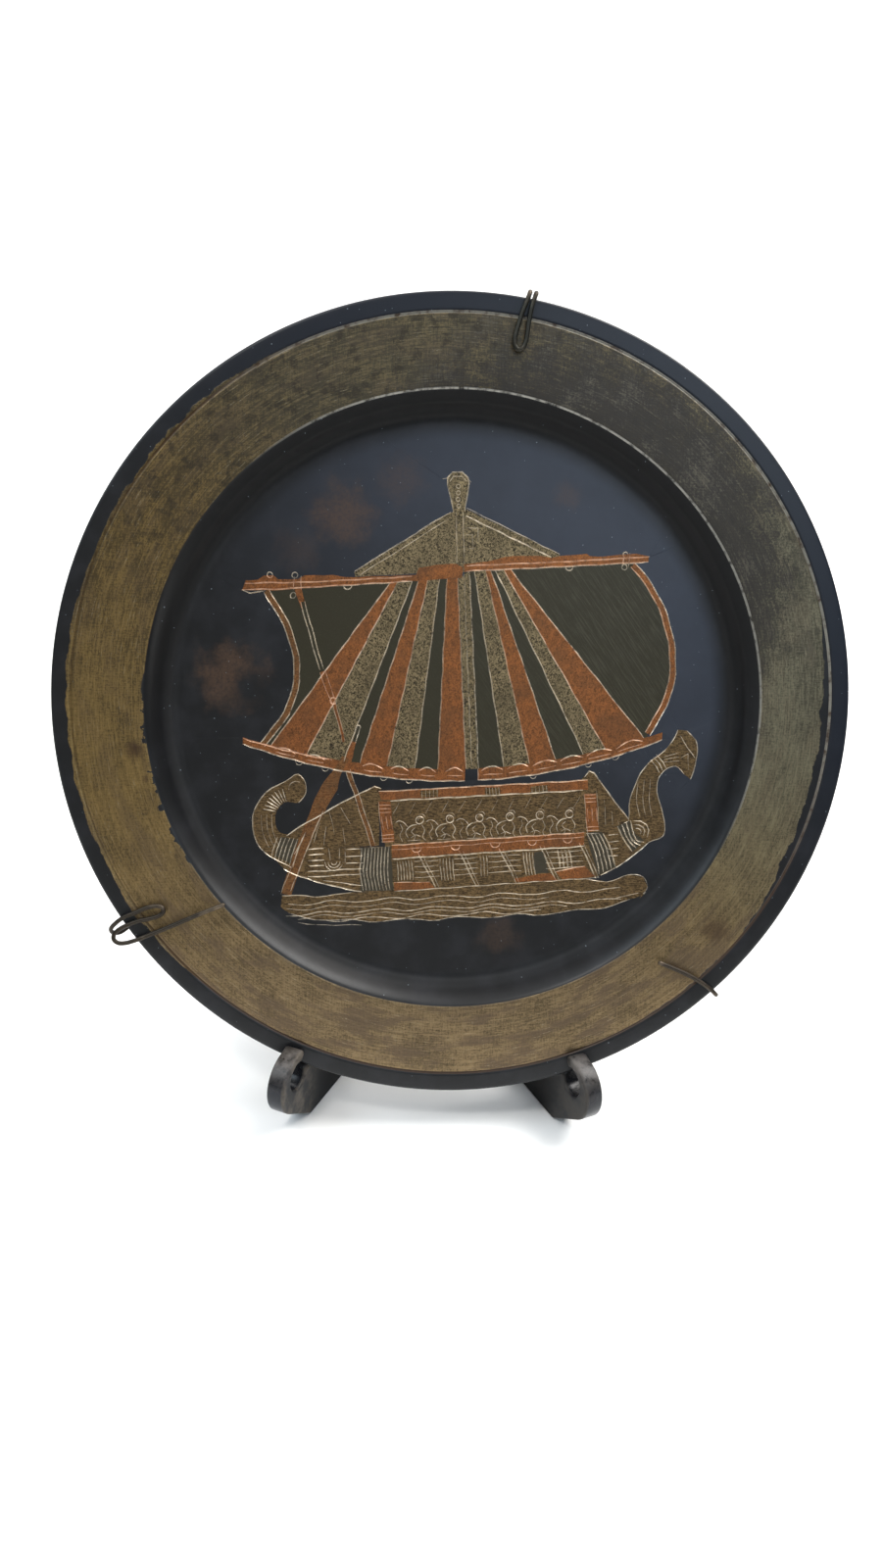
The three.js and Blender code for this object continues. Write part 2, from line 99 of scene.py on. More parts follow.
# ---- meshes from arrays ----
def add_piece(name, points, faces, smooth=True):
    """Mesh object from an array of points in metres and a list of face arrays (triangles, quads)."""
    mesh = bpy.data.meshes.new(name)
    mesh.from_pydata(np.asarray(points).tolist(), [], [face for group in faces for face in group.tolist()])
    mesh.update()
    flags = np.broadcast_to(np.asarray(smooth, bool), len(mesh.polygons)).copy()
    mesh.polygons.foreach_set("use_smooth", flags)
    piece = bpy.data.objects.new(name, mesh)
    bpy.context.scene.collection.objects.link(piece)
    return piece


def clean(piece, near=2e-6):
    """Merge points nearer than this, in metres, and dissolve the slivers left between them."""
    work = bmesh.new()
    work.from_mesh(piece.data)
    bmesh.ops.remove_doubles(work, verts=work.verts, dist=near)
    bmesh.ops.dissolve_degenerate(work, edges=work.edges, dist=near)
    bmesh.ops.triangulate(work, faces=[face for face in work.faces if len(face.verts) > 4])
    stray = [face for face in work.faces if sum(edge.is_boundary for edge in face.edges) > 1]
    bmesh.ops.delete(work, geom=stray, context="FACES")
    work.to_mesh(piece.data)
    work.free()


def ring_quads(rings, around, closed=True):
    """Quads of a grid of rings x around points, each ring joined to the next, and closed round if asked."""
    steps = around if closed else around - 1
    i, j = np.meshgrid(np.arange(rings - 1), np.arange(steps), indexing="ij")
    k = (j + 1) % around
    near, far = i * around, (i + 1) * around
    return np.stack([near + j, near + k, far + k, far + j], -1).reshape(-1, 4)


def bend(start, corner, end, steps):
    """Quadratic curve from start to end, pulled to the corner: weights (1-t)^2, 2t(1-t) and t^2."""
    t = np.linspace(0, 1, steps)[:, None]
    start, corner, end = (np.array(p, float) for p in (start, corner, end))
    return (1 - t) ** 2 * start + 2 * t * (1 - t) * corner + t ** 2 * end


def catmull_rom(points, per_span):
    """Smooth run through the points: centripetal Catmull-Rom cubics, per_span steps to a span."""
    points = np.asarray(points, float)
    knots = np.concatenate([[2 * points[0] - points[1]], points, [2 * points[-1] - points[-2]]])
    gaps = np.linalg.norm(np.diff(knots, axis=0), axis=1) ** 0.5
    before, here, after = gaps[:-2, None, None], gaps[1:-1, None, None], gaps[2:, None, None]
    p0, p1, p2, p3 = (knots[i:len(knots) - 3 + i, None] for i in range(4))
    leave = (p1 - p0) / before - (p2 - p0) / (before + here) + (p2 - p1) / here
    arrive = (p2 - p1) / here - (p3 - p1) / (here + after) + (p3 - p2) / after
    leave, arrive = leave * here, arrive * here
    t = (np.arange(per_span) / per_span)[None, :, None]
    spans = (p1 + leave * t + (3 * (p2 - p1) - 2 * leave - arrive) * t ** 2
             + (2 * (p1 - p2) + leave + arrive) * t ** 3)
    return np.concatenate([spans.reshape(-1, points.shape[1]), points[-1:]])


# ---- the drawing: the ship's own frame, x to the right, y up from the plate's centre, in mm ----
SHIP_TURN = math.radians(4)      # the ship is turned a little in the plate
STEP = 2.2                       # longest straight step of a drawn edge
LINE_SHARE = 0.74                # share of its given width that a line is cut to
TAPER_LENGTH = 1.2               # a line narrows over about this length at its ends,
END_SHARE = 0.5                  # to this share of its width
SWELL = 0.14                     # a line widens and narrows by this share along its run
LEAST_SHINE, SHINE_PER_WIDTH = 0.3, 2
PATINA, BRASS, COPPER, OLIVE, STIPPLE, DARK, DULL = range(7)


def wobble(points):
    """The hand in the drawing: a drift of a tenth or two of a millimetre, the sum of four sine waves."""
    x, y = points[:, 0], points[:, 1]
    across = 0.07 * np.sin(0.93 * y + 0.31 * x + 1) + 0.03 * np.sin(2.3 * y - 1.1 * x)
    along = 0.07 * np.sin(0.85 * x - 0.42 * y + 2) + 0.03 * np.sin(2.1 * x + 1.3 * y)
    return points + np.stack([across, along], 1)


def stepped(points, closed=False):
    """The polyline cut so that no step is longer than STEP."""
    points = np.asarray(points, float)
    if closed:
        points = np.concatenate([points, points[:1]])
    runs = []
    for start, end in zip(points[:-1], points[1:]):
        count = max(1, math.ceil(np.linalg.norm(end - start) / STEP))
        runs.append(start + (end - start) * (np.arange(count) / count)[:, None])
    if not closed:
        runs.append(points[-1:])
    return np.concatenate(runs)


class Drawing:
    """Areas in painting order and engraved lines, gathered before they are laid on the plate's floor."""

    def __init__(self):
        self.areas = []
        self.lines = []

    def area(self, finish, points):
        """Closed outline filled with a finish, over what was drawn before it."""
        self.areas.append((finish, wobble(stepped(points, closed=True))))

    def line(self, points, width):
        """Engraved line, narrowed at its ends, swelling as a sine along its run; wide ones shine more."""
        run = wobble(stepped(points))
        length = np.concatenate([[0], np.cumsum(np.linalg.norm(np.diff(run, axis=0), axis=1))])
        nearest_end = np.minimum(length, length[-1] - length)
        swell = 1 + SWELL * np.sin(1.9 * length + run[0, 0])
        narrow = np.clip(END_SHARE + nearest_end / TAPER_LENGTH, END_SHARE, 1)
        shine = min(1, LEAST_SHINE + SHINE_PER_WIDTH * width)
        self.lines.append((run, LINE_SHARE * width * swell * narrow, shine))

    def curve(self, points, width, per_span=3):
        """Engraved line that runs smoothly through the points."""
        self.line(catmull_rom(points, per_span), width)

    def ring(self, x, y, radius, start=0, end=360, width=0.3):
        """Arc of a small circle, from start to end degrees."""
        angle = np.radians(np.linspace(start, end, max(5, int(abs(end - start) / 30) + 1)))
        self.line(np.stack([x + radius * np.cos(angle), y + radius * np.sin(angle)], 1), width)

    def band(self, finish, centre, half, edges=0.36):
        """Strip of the given half width (a number, or one for each point) with a line down each side."""
        centre = np.asarray(centre, float)
        run = np.gradient(centre, axis=0)
        across = np.stack([-run[:, 1], run[:, 0]], 1) / np.linalg.norm(run, axis=1)[:, None]
        offset = across * np.broadcast_to(half, len(centre))[:, None]
        self.area(finish, np.concatenate([centre + offset, (centre - offset)[::-1]]))
        if edges:
            self.line(centre + offset, edges)
            self.line(centre - offset, edges)


def curve_over(x, height):
    """Points along x at the heights that the function gives."""
    return np.stack([x, height(x)], 1)


MAST = 3.1
LEECH_LEFT = [(-39.3, 25.9), (-36.2, 20.5), (-33.9, 13.5), (-33.8, 6.5), (-36.3, -0.3), (-41.9, -7.1)]
LEECH_RIGHT = [(39.6, 29), (43.2, 24.4), (46.3, 18), (48, 10.5), (47.8, 3.5), (46, -1.5), (42.4, -7.6)]
SPAR_SPLIT = 3.2                 # the yard's two spars meet here
FAN_LEFT = ([1.7, -0.6, -2.2, -4.7, -6.7, -8.0, -11.2, -12.8],
            [2.2, -3.9, -8.9, -15, -20.9, -24.4, -32.4, -40])
FAN_RIGHT = ([4.3, 5.4, 7.8, 8.9, 9.9, 11.7, 13.1], [5, 10.6, 16.2, 22, 28.2, 33, 41.6])


def spar_low(x):
    """Underside of the yard: the left spar hangs about a millimetre lower than the right one."""
    return np.where(x < SPAR_SPLIT, 27.3 + 0.032 * x, 28.6 + 0.019 * x)


def foot(x):
    """Sail's foot: a shallow parabola, lowest at the mast."""
    return -13.9 + 0.0036 * (x - MAST) ** 2


def lower(x):
    """Underside of the lower yard."""
    return -16.5 + 0.0041 * (x - MAST) ** 2


def draw_sail(d):
    """Olive field inside both edges, with the fan of stripes from the yard to the foot."""
    left = catmull_rom(LEECH_LEFT, 4)
    right = catmull_rom(LEECH_RIGHT, 4)
    foot_run = curve_over(np.linspace(left[-1, 0], right[-1, 0], 36), foot)
    yard_run = curve_over(np.array([39.6, SPAR_SPLIT + 0.01, SPAR_SPLIT - 0.01, -39.3]), spar_low)
    d.area(OLIVE, np.concatenate([left, foot_run, right[::-1], yard_run]))

    def edges(fan):
        """Places along the yard's underside and along the foot that the stripes' edges join."""
        tops, feet = (np.array(row, float) for row in fan)
        return np.stack([tops, spar_low(tops)], 1), np.stack([feet, foot(feet)], 1)

    for fan, finishes in ((FAN_LEFT, (COPPER, OLIVE, STIPPLE, COPPER, OLIVE, STIPPLE, COPPER)),
                          (FAN_RIGHT, (OLIVE, STIPPLE, COPPER, OLIVE, STIPPLE, COPPER))):
        tops, feet = edges(fan)
        for i, finish in enumerate(finishes):
            d.area(finish, [tops[i], feet[i], feet[i + 1], tops[i + 1]])
        for top, low in zip(tops, feet):
            d.line([top, low], 0.34)
    d.area(STIPPLE, [(1.9, 27.4), (2.3, foot(2.3)), (4.8, foot(4.8)), (4.2, 28.6)])
    d.line([(3.1, 28.3), (3.5, -13.2)], 0.24)

    half = 0.62
    d.band(DULL, left, half, 0.3)
    d.band(COPPER, right, half)


def draw_lower_yard(d):
    """Strip between the foot and lower curves, with humps of half a sine wave along it."""
    for start, end in ((-46, 2.0), (4.8, 45.6)):
        x = np.linspace(start, end, 40)
        d.area(COPPER, np.concatenate([curve_over(x, foot), curve_over(x, lower)[::-1]]))
        d.line(curve_over(x, lower), 0.4)
    d.line([(4.8, foot(4.8)), (4.9, lower(4.9))], 0.36)
    d.line(curve_over(np.linspace(-46, -27, 12), lambda x: foot(x) - 0.2), 0.4)
    for start, end in ((-39.2, -34.8), (-32.6, -28.6), (-20.4, -16), (-14.2, -10.2), (-8, -4.4), (-2.2, 1.5),
                       (5.6, 10.4), (11.4, 16), (17, 22.2), (23, 28.1), (29, 34.4), (35.4, 41.4)):
        x = np.linspace(start, end, 7)
        hump = 0.85 * np.sin(np.pi * (x - start) / (end - start))
        d.line(np.stack([x, foot(x) - 0.55 + hump], 1), 0.36)
        short = np.linspace(start + 0.3, end - 0.2, 4)
        d.line(curve_over(short, lambda x: (foot(x) + lower(x)) / 2 - 0.2), 0.26)
    for x in (-34, -28.4, -15.9, -10.3, 17, 29.2, 35.2):
        d.ring(x, lower(x) - 0.1, 0.75, 190, 350, 0.22)


def draw_yard(d):
    """The two spars as filled outlines, their seams, rings and lashings."""
    d.area(COPPER, [(-44.4, 26.3), (-38, 26), (1.8, spar_low(1.8)), (2.4, 28.8), (-7, 28.3), (-23, 28.3),
                    (-25, 28.9), (-31, 28.9), (-32.4, 28.2), (-36.6, 28.3), (-37.6, 29.1), (-39.6, 29.2),
                    (-41, 28.4), (-43.6, 28.3)])
    d.area(COPPER, [(SPAR_SPLIT, 28.7), (36, 29.3), (43, 29.5), (43.2, 30.7), (40.6, 31.4), (33, 31),
                    (30.2, 31.1), (29.6, 31.6), (25, 31.5), (22, 31), (19.5, 31.6), (12, 31.6), (8, 30.6),
                    (SPAR_SPLIT, 30.3)])
    d.area(COPPER, [(-7.6, 27), (-2, 27.2), (2.6, 27.5), (3, 29.6), (1.6, 30.4), (-3, 30.3), (-6.6, 29.8)])
    d.line([(-44.2, 26.4), (-38, 26.2), (-8, 27)], 0.38)
    d.line([(-43.8, 27.7), (-30, 27.5), (-8, 28)], 0.36)
    d.line([(-44.5, 26.4), (-42.6, 25.6), (-39.6, 25.9)], 0.34)
    d.line([(3.6, 28.8), (20, 29), (43, 29.5)], 0.4)
    d.line([(3.8, 29.9), (24, 30.1), (43.3, 30.6)], 0.4)
    for x in (-21.9, 25.9):
        d.ring(x, float(spar_low(x)), 0.85, 180, 360, 0.34)
    for x, y in ((-33, 29.1), (-33.7, 24.8), (37.7, 28.6), (38.1, 31.1), (-38.3, 29.2)):
        d.ring(x, y, 0.6, 0, 360, 0.26)
    for x in (37.3, 38.6):
        d.line([(x, 28.7), (x + 0.5, 31.6)], 0.34)
    d.line([(-33.6, 26), (-33.1, 28.8)], 0.3)
    d.line([(-31.9, 26), (-31.7, 28.8)], 0.3)


def draw_masthead(d):
    """Rounded head of the mast."""
    d.area(STIPPLE, [(1.2, 41.3), (3.7, 41.4), (4.2, 44), (4.7, 47.2), (4.6, 48.4), (3.4, 49.5), (1.3, 49.5),
                     (0.2, 48.4), (0.1, 47), (0.9, 44)])
    d.line([(1.2, 41.4), (0.9, 44), (0.1, 47), (0.2, 48.4), (1.3, 49.5), (3.4, 49.5), (4.6, 48.4),
            (4.7, 47.2), (4.2, 44), (3.7, 41.5)], 0.36)
    d.line([(0.6, 47.6), (1.4, 48.6), (3.3, 48.6), (4.3, 47.6)], 0.3)
    d.line([(-0.9, 48.3), (0.2, 48.3)], 0.26)
    d.line([(4.7, 48), (5.2, 47.4)], 0.26)
    for y in np.linspace(42.6, 46.6, 4):
        d.ring(2.4, y, 0.42, 0, 360, 0.22)


def draw_stays(d):
    """The triangle over the yard, its edges and the mast's two lines."""
    d.area(STIPPLE, [(1, 41.4), (-20.4, 29.3), (-20.2, 28.4), (SPAR_SPLIT, 28.7), (SPAR_SPLIT, 30.2),
                     (24, 31), (23.6, 31.8), (3.9, 41.8)])
    d.line([(0.6, 41.3), (-20.3, 29.5)], 0.34)
    d.line([(0.2, 39.9), (-19.2, 28.7)], 0.22)
    d.line([(4.2, 42), (23.8, 31.7)], 0.24)
    d.line([(3.8, 40.4), (22, 31.2)], 0.38)
    for x in (1.7, 3.2):
        d.line([(x, 30.6), (x + 0.1, 41.2)], 0.3)
    d.line([(3.7, 36.4), (5.2, 36.4), (5.2, 33.6), (4.3, 33.6)], 0.24)
    d.line([(4, 37.8), (6.4, 37.8), (6.4, 34.6)], 0.22)


def draw_ropes(d):
    """Narrow strips that hang from the yard's left end and run to the steering oar."""
    d.band(COPPER, [(-32.7, 26.6), (-32.2, 24.4), (-31.4, 22.2)], [0.8, 0.65, 0.5], 0)
    d.band(OLIVE, [(-31.7, 23.4), (-30, 16), (-28.3, 8.8)], 0.42, 0.34)
    d.band(COPPER, [(-28.1, 8.4), (-27, 4.6), (-26, 1.6), (-25, -2.6), (-24.2, -7)],
           [0.6, 0.6, 0.35, 0.3, 0.3], 0.22)
    d.ring(-26.1, 2.1, 0.7, 0, 360, 0.34)
    d.band(OLIVE, [(-20.9, -3.8), (-22.1, -7.2)], 0.42, 0.36)
    d.ring(-20.9, -3.9, 0.5, -30, 170, 0.34)
    d.band(COPPER, [(-22, -7), (-23, -10), (-24.4, -13)], [0.5, 0.7, 0.9], 0)


def draw_steering(d):
    """Steering oar as a strip that widens to its blade, and the stay beside it."""
    oar = [(-24, -10.4), (-25.9, -13.6), (-27.6, -16.6), (-29.6, -20), (-31.8, -24.4), (-34.6, -30.4),
           (-38.4, -40.3)]
    d.band(DULL, oar, [0.8, 0.9, 1.7, 1.6, 1.3, 1.25, 1.15], 0)
    d.line([(-29.4, -22), (-32.4, -28.4), (-37.3, -39.6)], 0.3)
    d.line([(-33.4, -26.6), (-36, -31.4)], 0.34)
    d.line([(-36.2, -32.8), (-39.6, -40.2)], 0.22)
    d.band(DULL, [(-23.6, -13.2), (-22.1, -18), (-20.4, -24), (-18.7, -30.2)], 0.5, 0.26)


def draw_stern(d):
    """Bent-over stern post, filled between its two smooth edges, with a fan of short lines."""
    scroll = [(-37.2, -15.2), (-34.4, -13.6), (-33, -15.6), (-33, -18.2), (-34.6, -20), (-37, -19.6),
              (-38.8, -20.6), (-39.8, -23), (-39.4, -26), (-37.4, -27)]
    back = [(-37, -34.2), (-40.2, -32.4), (-43.6, -29.4), (-44.9, -25.2), (-44.2, -21), (-41.6, -17.4),
            (-37.2, -15.2)]
    scroll_run, back_run = catmull_rom(scroll, 3), catmull_rom(back, 3)
    d.area(BRASS, np.concatenate([scroll_run, back_run]))
    d.line(back_run, 0.3)
    d.curve(scroll[:5], 0.22)
    for share in np.linspace(0, 1, 8):
        angle = math.radians(165 - 62 * share)
        reach = np.array([math.cos(angle), math.sin(angle)])
        pivot = np.array([-36.6, -22.6])
        d.line([pivot + reach * 3.2, pivot + reach * 5.9], 0.3)
    d.ring(-35, -16.8, 1.6, 60, 190, 0.22)
    for inset in (1.1, 2.3, 3.4):
        d.curve([(-43.9 + inset, -22.4), (-44 + inset, -26), (-42.6 + inset, -29.6)], 0.2)


def draw_castles(d):
    """Sloping platforms before and behind the deckhouse."""
    d.area(BRASS, [(-37.6, -27.2), (-33, -24.4), (-26.5, -21), (-21, -18.3), (-17.6, -16.8), (-16.4, -17.6),
                   (-17, -20.4), (-17.4, -30.2), (-33, -30.2), (-36.4, -29)])
    d.line([(-37.6, -27.2), (-33, -24.4), (-26.5, -21), (-21, -18.3), (-17.8, -17), (-16.6, -17.5)], 0.34)
    for run in ([(-30.2, -24.6), (-31.8, -29)], [(-28, -22.4), (-27, -27.4)], [(-25.4, -21.4), (-23.6, -25)],
                [(-28.8, -25.6), (-29.6, -29.6)], [(-25.2, -26), (-24.8, -29.6)]):
        d.line(run, 0.2)
    d.area(BRASS, [(29.3, -15.4), (30.4, -15.8), (34, -21), (38.2, -26.8), (36.2, -29), (28.4, -30),
                   (27.8, -17)])
    d.line([(28.3, -16.8), (29.3, -15.4), (30.4, -15.8), (34, -21), (38, -26.6)], 0.32)
    for x in (31, 32.6, 34.2, 35.6):
        d.line([(x, -18.2 - (x - 30) * 1.5), (x + 0.3, -27.6)], 0.18)


def draw_deckhouse(d):
    """The oarsmen's frame: roof beam, short slanted strokes and two banded posts."""
    d.area(BRASS, [(-17.4, -19.6), (29.4, -19), (30.6, -29.4), (-16, -30.6)])
    d.area(COPPER, [(-17, -18.2), (29, -17.4), (29.2, -19.5), (-16.6, -20.1)])
    d.line([(-17, -18.2), (29, -17.4)], 0.38)
    d.line([(-14.6, -20.3), (28, -19.6)], 0.38)
    for start, end, count in ((-7.6, -4.3, 5), (6.6, 9.4, 5), (16.6, 19.8, 5)):
        d.area(BRASS, [(start - 0.3, -18.3), (end + 0.3, -18.2), (end + 0.3, -19.8), (start - 0.3, -19.8)])
        for x in np.linspace(start, end, count):
            d.line([(x, -18.2), (x + 0.1, -19.9)], 0.26)
    for x in np.linspace(-13.6, 26.4, 12):
        d.line([(x + 0.9, -20.9), (x - 0.6, -23.4)], 0.13)
    for left in (-17.2, 28.2):
        right = left + 2.6
        shift = 0.6 if left < 0 else 0
        d.area(COPPER, [(left, -20.4), (right, -20.4), (right + 0.6, -29.6), (left + 0.6, -29.6)])
        for y in (-21.2, -22, -22.8):
            d.line([(left, y + 0.6 - shift), (right, y + 0.6 - shift)], 0.24)
        for x in np.linspace(left + 0.5, right - 0.1, 3):
            d.line([(x + 0.1, -23.7), (x + 0.4, -26.7)], 0.3)
        for y in (-27.9, -28.7, -29.4):
            d.line([(left + 0.3, y), (right + 0.4, y)], 0.26)
        d.line([(left, -20.6), (left + 0.6, -29.6)], 0.22)


ROWERS = 6


def draw_rowers(d):
    """Generic rowers: a ring for the head, a bent back, arms to the oar, folded legs and a thwart."""
    for x in np.linspace(-10.6, 22.6, ROWERS):
        d.ring(x + 2.3, -24.8, 0.85, 0, 360, 0.3)
        d.ring(x + 2.3, -24.8, 0.4, 20, 200, 0.16)
        d.curve([(x + 1.7, -25.7), (x + 0.2, -26.1), (x - 0.8, -27.3), (x - 0.4, -28.7)], 0.3)
        d.curve([(x + 1.3, -26.5), (x + 0.5, -27.3), (x + 1.2, -28.3), (x + 0.7, -29.4)], 0.22)
        d.curve([(x + 2.8, -25.9), (x + 3.4, -27.2), (x + 2.9, -28.6), (x + 3.5, -29.5)], 0.26)
        d.curve([(x - 0.3, -26.2), (x - 1.2, -25.2), (x - 2.2, -24.9), (x - 2.9, -25.3)], 0.26)
        d.curve([(x - 1.9, -25.6), (x - 1.5, -26.8), (x - 2.2, -28), (x - 1.7, -29.4)], 0.2)
        d.curve([(x + 0.2, -28.6), (x + 1.4, -28.1), (x + 2.4, -28.6)], 0.2)
        d.line([(x - 0.6, -29.3), (x + 2.4, -29.35)], 0.18)
        d.curve([(x + 2, -23.6), (x + 3, -23.5), (x + 3.5, -24.2)], 0.16)


def rail(x):
    """Lower edge of the rail, rising a little towards the bow."""
    return -33.1 + 0.028 * (x + 14)


def draw_rail(d):
    """Strip along the rail curve with five small half rings."""
    x = np.linspace(-14.6, 28, 20)
    d.area(COPPER, np.concatenate([curve_over(x, rail), curve_over(x[::-1], lambda x: rail(x) + 2.9)]))
    d.line(curve_over(x, lambda x: rail(x) + 2.9), 0.34)
    d.line(curve_over(x, lambda x: rail(x) + 1.9), 0.22)
    d.line(curve_over(x, lambda x: rail(x) - 0.2), 0.36)
    for x in (-9.2, -0.6, 8.2, 16.4, 24.4):
        d.ring(x, float(rail(x)) + 1.9, 1.05, 185, 355, 0.3)


def keel(x):
    """Underside of the hull: level to the lashing, then rising evenly to the bow."""
    return -40.6 + 0.028 * np.maximum(x + 14, 0)


def planks(d, start, end, heights, width=0.24):
    """Nearly level lines, one for each height, rising by a fiftieth of their length."""
    for y in heights:
        d.line([(start, y), (end, y + 0.02 * (end - start))], width)


def ribs(d, start, end, count, top, low, width=0.3, rake=0.2, belly=0):
    """Upright lines side by side; belly bends them sideways at the middle."""
    for x in np.linspace(start, end, count):
        middle = (x + rake / 2 - belly, (top + low) / 2)
        d.curve([(x, top), middle, (x + rake, low)], width)


def draw_hull(d):
    """Hull outline, its bands, planks, ribs and lashing, and the looms of the oars."""
    under = catmull_rom([(-38.6, -34.6), (-35, -36.4), (-28, -38.8), (-21.7, -40.4)], 4)
    bow = catmull_rom([(31.6, -38.9), (36, -36.6), (40, -33.8), (42.6, -31.8)], 4)
    top = [(42.8, -29.6), (38.2, -26.8), (28, -29.4), (-14.6, -30.6), (-33, -30), (-38, -27.6), (-41.4, -31)]
    d.area(BRASS, np.concatenate([under, curve_over(np.linspace(-20, 30, 12), keel), bow, top]))
    d.line(under, 0.38)
    d.line(bow, 0.34)
    # stern bands
    d.area(DARK, [(-39, -27.4), (-34.4, -28.4), (-36.8, -33.6), (-40.6, -31.6)])
    for share in np.linspace(0, 1, 7):
        d.line([(-39.6 + 5.2 * share, -27.4 - 0.8 * share), (-41.2 + 4.6 * share, -31.8 - 2.4 * share)], 0.32)
    # planks between the bands
    planks(d, -33, -29.6, (-30.4, -31.7, -33, -34.2), 0.34)
    planks(d, -33.4, -21.4, (-35.4, -36.6), 0.34)
    planks(d, -24.8, -21.2, (-30.8, -32.4, -33.9), 0.32)
    d.line([(-30, -37.5), (-21.5, -39)], 0.3)
    d.line([(-25, -30.4), (-25, -34.4)], 0.28)
    for radius in (0.6, 1.3, 2):
        d.ring(-27.4, -33.4, radius, 180, 360, 0.26)
    d.line([(-28.6, -30.4), (-28.2, -33)], 0.24)
    d.line([(-26.2, -30.4), (-26.3, -33)], 0.24)
    # lashing
    d.area(DARK, [(-21.6, -30.5), (-14.9, -30.6), (-14.6, -40.3), (-22, -40.4)])
    ribs(d, -21.2, -15.2, 9, -30.6, -40.2, 0.32, -0.2, 0.5)
    # plank strakes and rib clusters
    for start, end in ((-9.8, -4.4), (-1, 4.2), (6.6, 13.8), (19.4, 27.6)):
        planks(d, start, end, rail(start) - np.array([1.1, 2.3, 3.5, 4.7]), 0.24)
    d.area(COPPER, [(-14.4, -38.6), (-6.6, -38.8), (-5.4, -40.3), (-14.4, -40.5)])
    d.area(COPPER, [(16.6, -38.2), (20.4, -37.9), (22, -39.7), (12.8, -39.6), (12.2, -38.8)])
    d.area(COPPER, [(21.6, -37.6), (28, -36.6), (30.4, -39.1), (23, -39.5)])
    d.line([(-14.4, -38.6), (-6.6, -38.8)], 0.24)
    d.line([(21.6, -37.6), (28, -36.6)], 0.34)
    d.area(DARK, [(16.8, -33), (19, -32.9), (20, -37.8), (16.8, -38)])
    ribs(d, -13.6, -10.4, 6, -33.9, -38.2, 0.3)
    ribs(d, -4.1, -1.3, 5, -33.7, -38.6, 0.28)
    ribs(d, 4.8, 6.2, 3, -33.4, -38, 0.24)
    ribs(d, 14.4, 16.4, 4, -33, -38.2, 0.34, 0.5)
    ribs(d, 22, 24.6, 4, -32.8, -36.8, 0.38, 0.6)
    # bow bands and eye
    d.area(DARK, [(28.4, -29.2), (32, -29), (35, -37), (31, -39)])
    for share in np.linspace(0, 1, 5):
        x = 28.6 + 3.6 * share
        d.curve([(x, -29.4), (x + 1.7, -33), (x + 2.6, -38.6 + 1.6 * share)], 0.36)
    planks(d, 33.4, 35.6, (-29.8, -31.4, -33, -34.6), 0.3)
    d.area(DARK, [(35.4, -28), (38.2, -26.8), (41.2, -31.4), (38.8, -33.8)])
    for share in np.linspace(0, 1, 4):
        x = 35.6 + 2.8 * share
        d.curve([(x, -28 + 1.1 * share), (x + 1.2, -31), (x + 3, -33.6 + 1.8 * share)], 0.38)
    for radius in (0.9, 1.7, 2.6):
        d.ring(39.9, -29.4, radius, -30, 110, 0.3)
    # the oars' looms
    for k, low in enumerate((-40.1, -39.9, -39.7, -39.6, -39.6)):
        x = -8.8 + 8.95 * k
        d.line([(x, float(rail(x)) + 0.6), (x + 3.5, low)], 0.4)
        d.line([(x + 0.9, float(rail(x)) + 0.5), (x + 4.2, low)], 0.24)
    d.line(curve_over(np.linspace(-14.4, 31, 12), keel), 0.26)


def draw_bow(d):
    """Rising bow post with its flared end, filled between smooth edges."""
    inner = catmull_rom([(38, -26.6), (38.4, -22), (40.2, -17.4), (42.6, -14), (46.2, -11.6), (48.6, -8.2),
                         (49.2, -7)], 3)
    flare = catmull_rom([(51.2, -7.2), (53, -9.4), (53.4, -12.6), (52.6, -16), (51.8, -18)], 3)
    outer = catmull_rom([(50.4, -17), (48.6, -15), (46.6, -15.4), (44.9, -17.4), (44.3, -20.6), (45.4, -24.4),
                         (46, -28.6), (45.6, -30.6), (42.6, -31.8)], 3)
    d.area(BRASS, np.concatenate([inner, flare, outer, [(39.6, -30)]]))
    d.line(inner, 0.26)
    d.line(flare, 0.3)
    d.line(outer, 0.24)
    d.line([(49.6, -8.2), (51.2, -11), (53, -13.4)], 0.26)
    d.line([(49.8, -13.2), (51.4, -12.4), (51.4, -16)], 0.22)
    for x, y in ((43, -13.4), (43.7, -12.9), (44.4, -12.4)):
        d.line([(x, y), (x + 1.3, y - 1.6), (x + 1.9, y - 2.9)], 0.34)
    for shift in (0, 0.9, 1.8):
        d.line([(46, -12.9 - shift * 0.6), (49.4, -12 - shift)], 0.2)
    for inset in (1.6, 3, 4.4):
        d.curve([(38.6 + inset, -17.8), (38.2 + inset, -21.6), (38.8 + inset, -26)], 0.2)


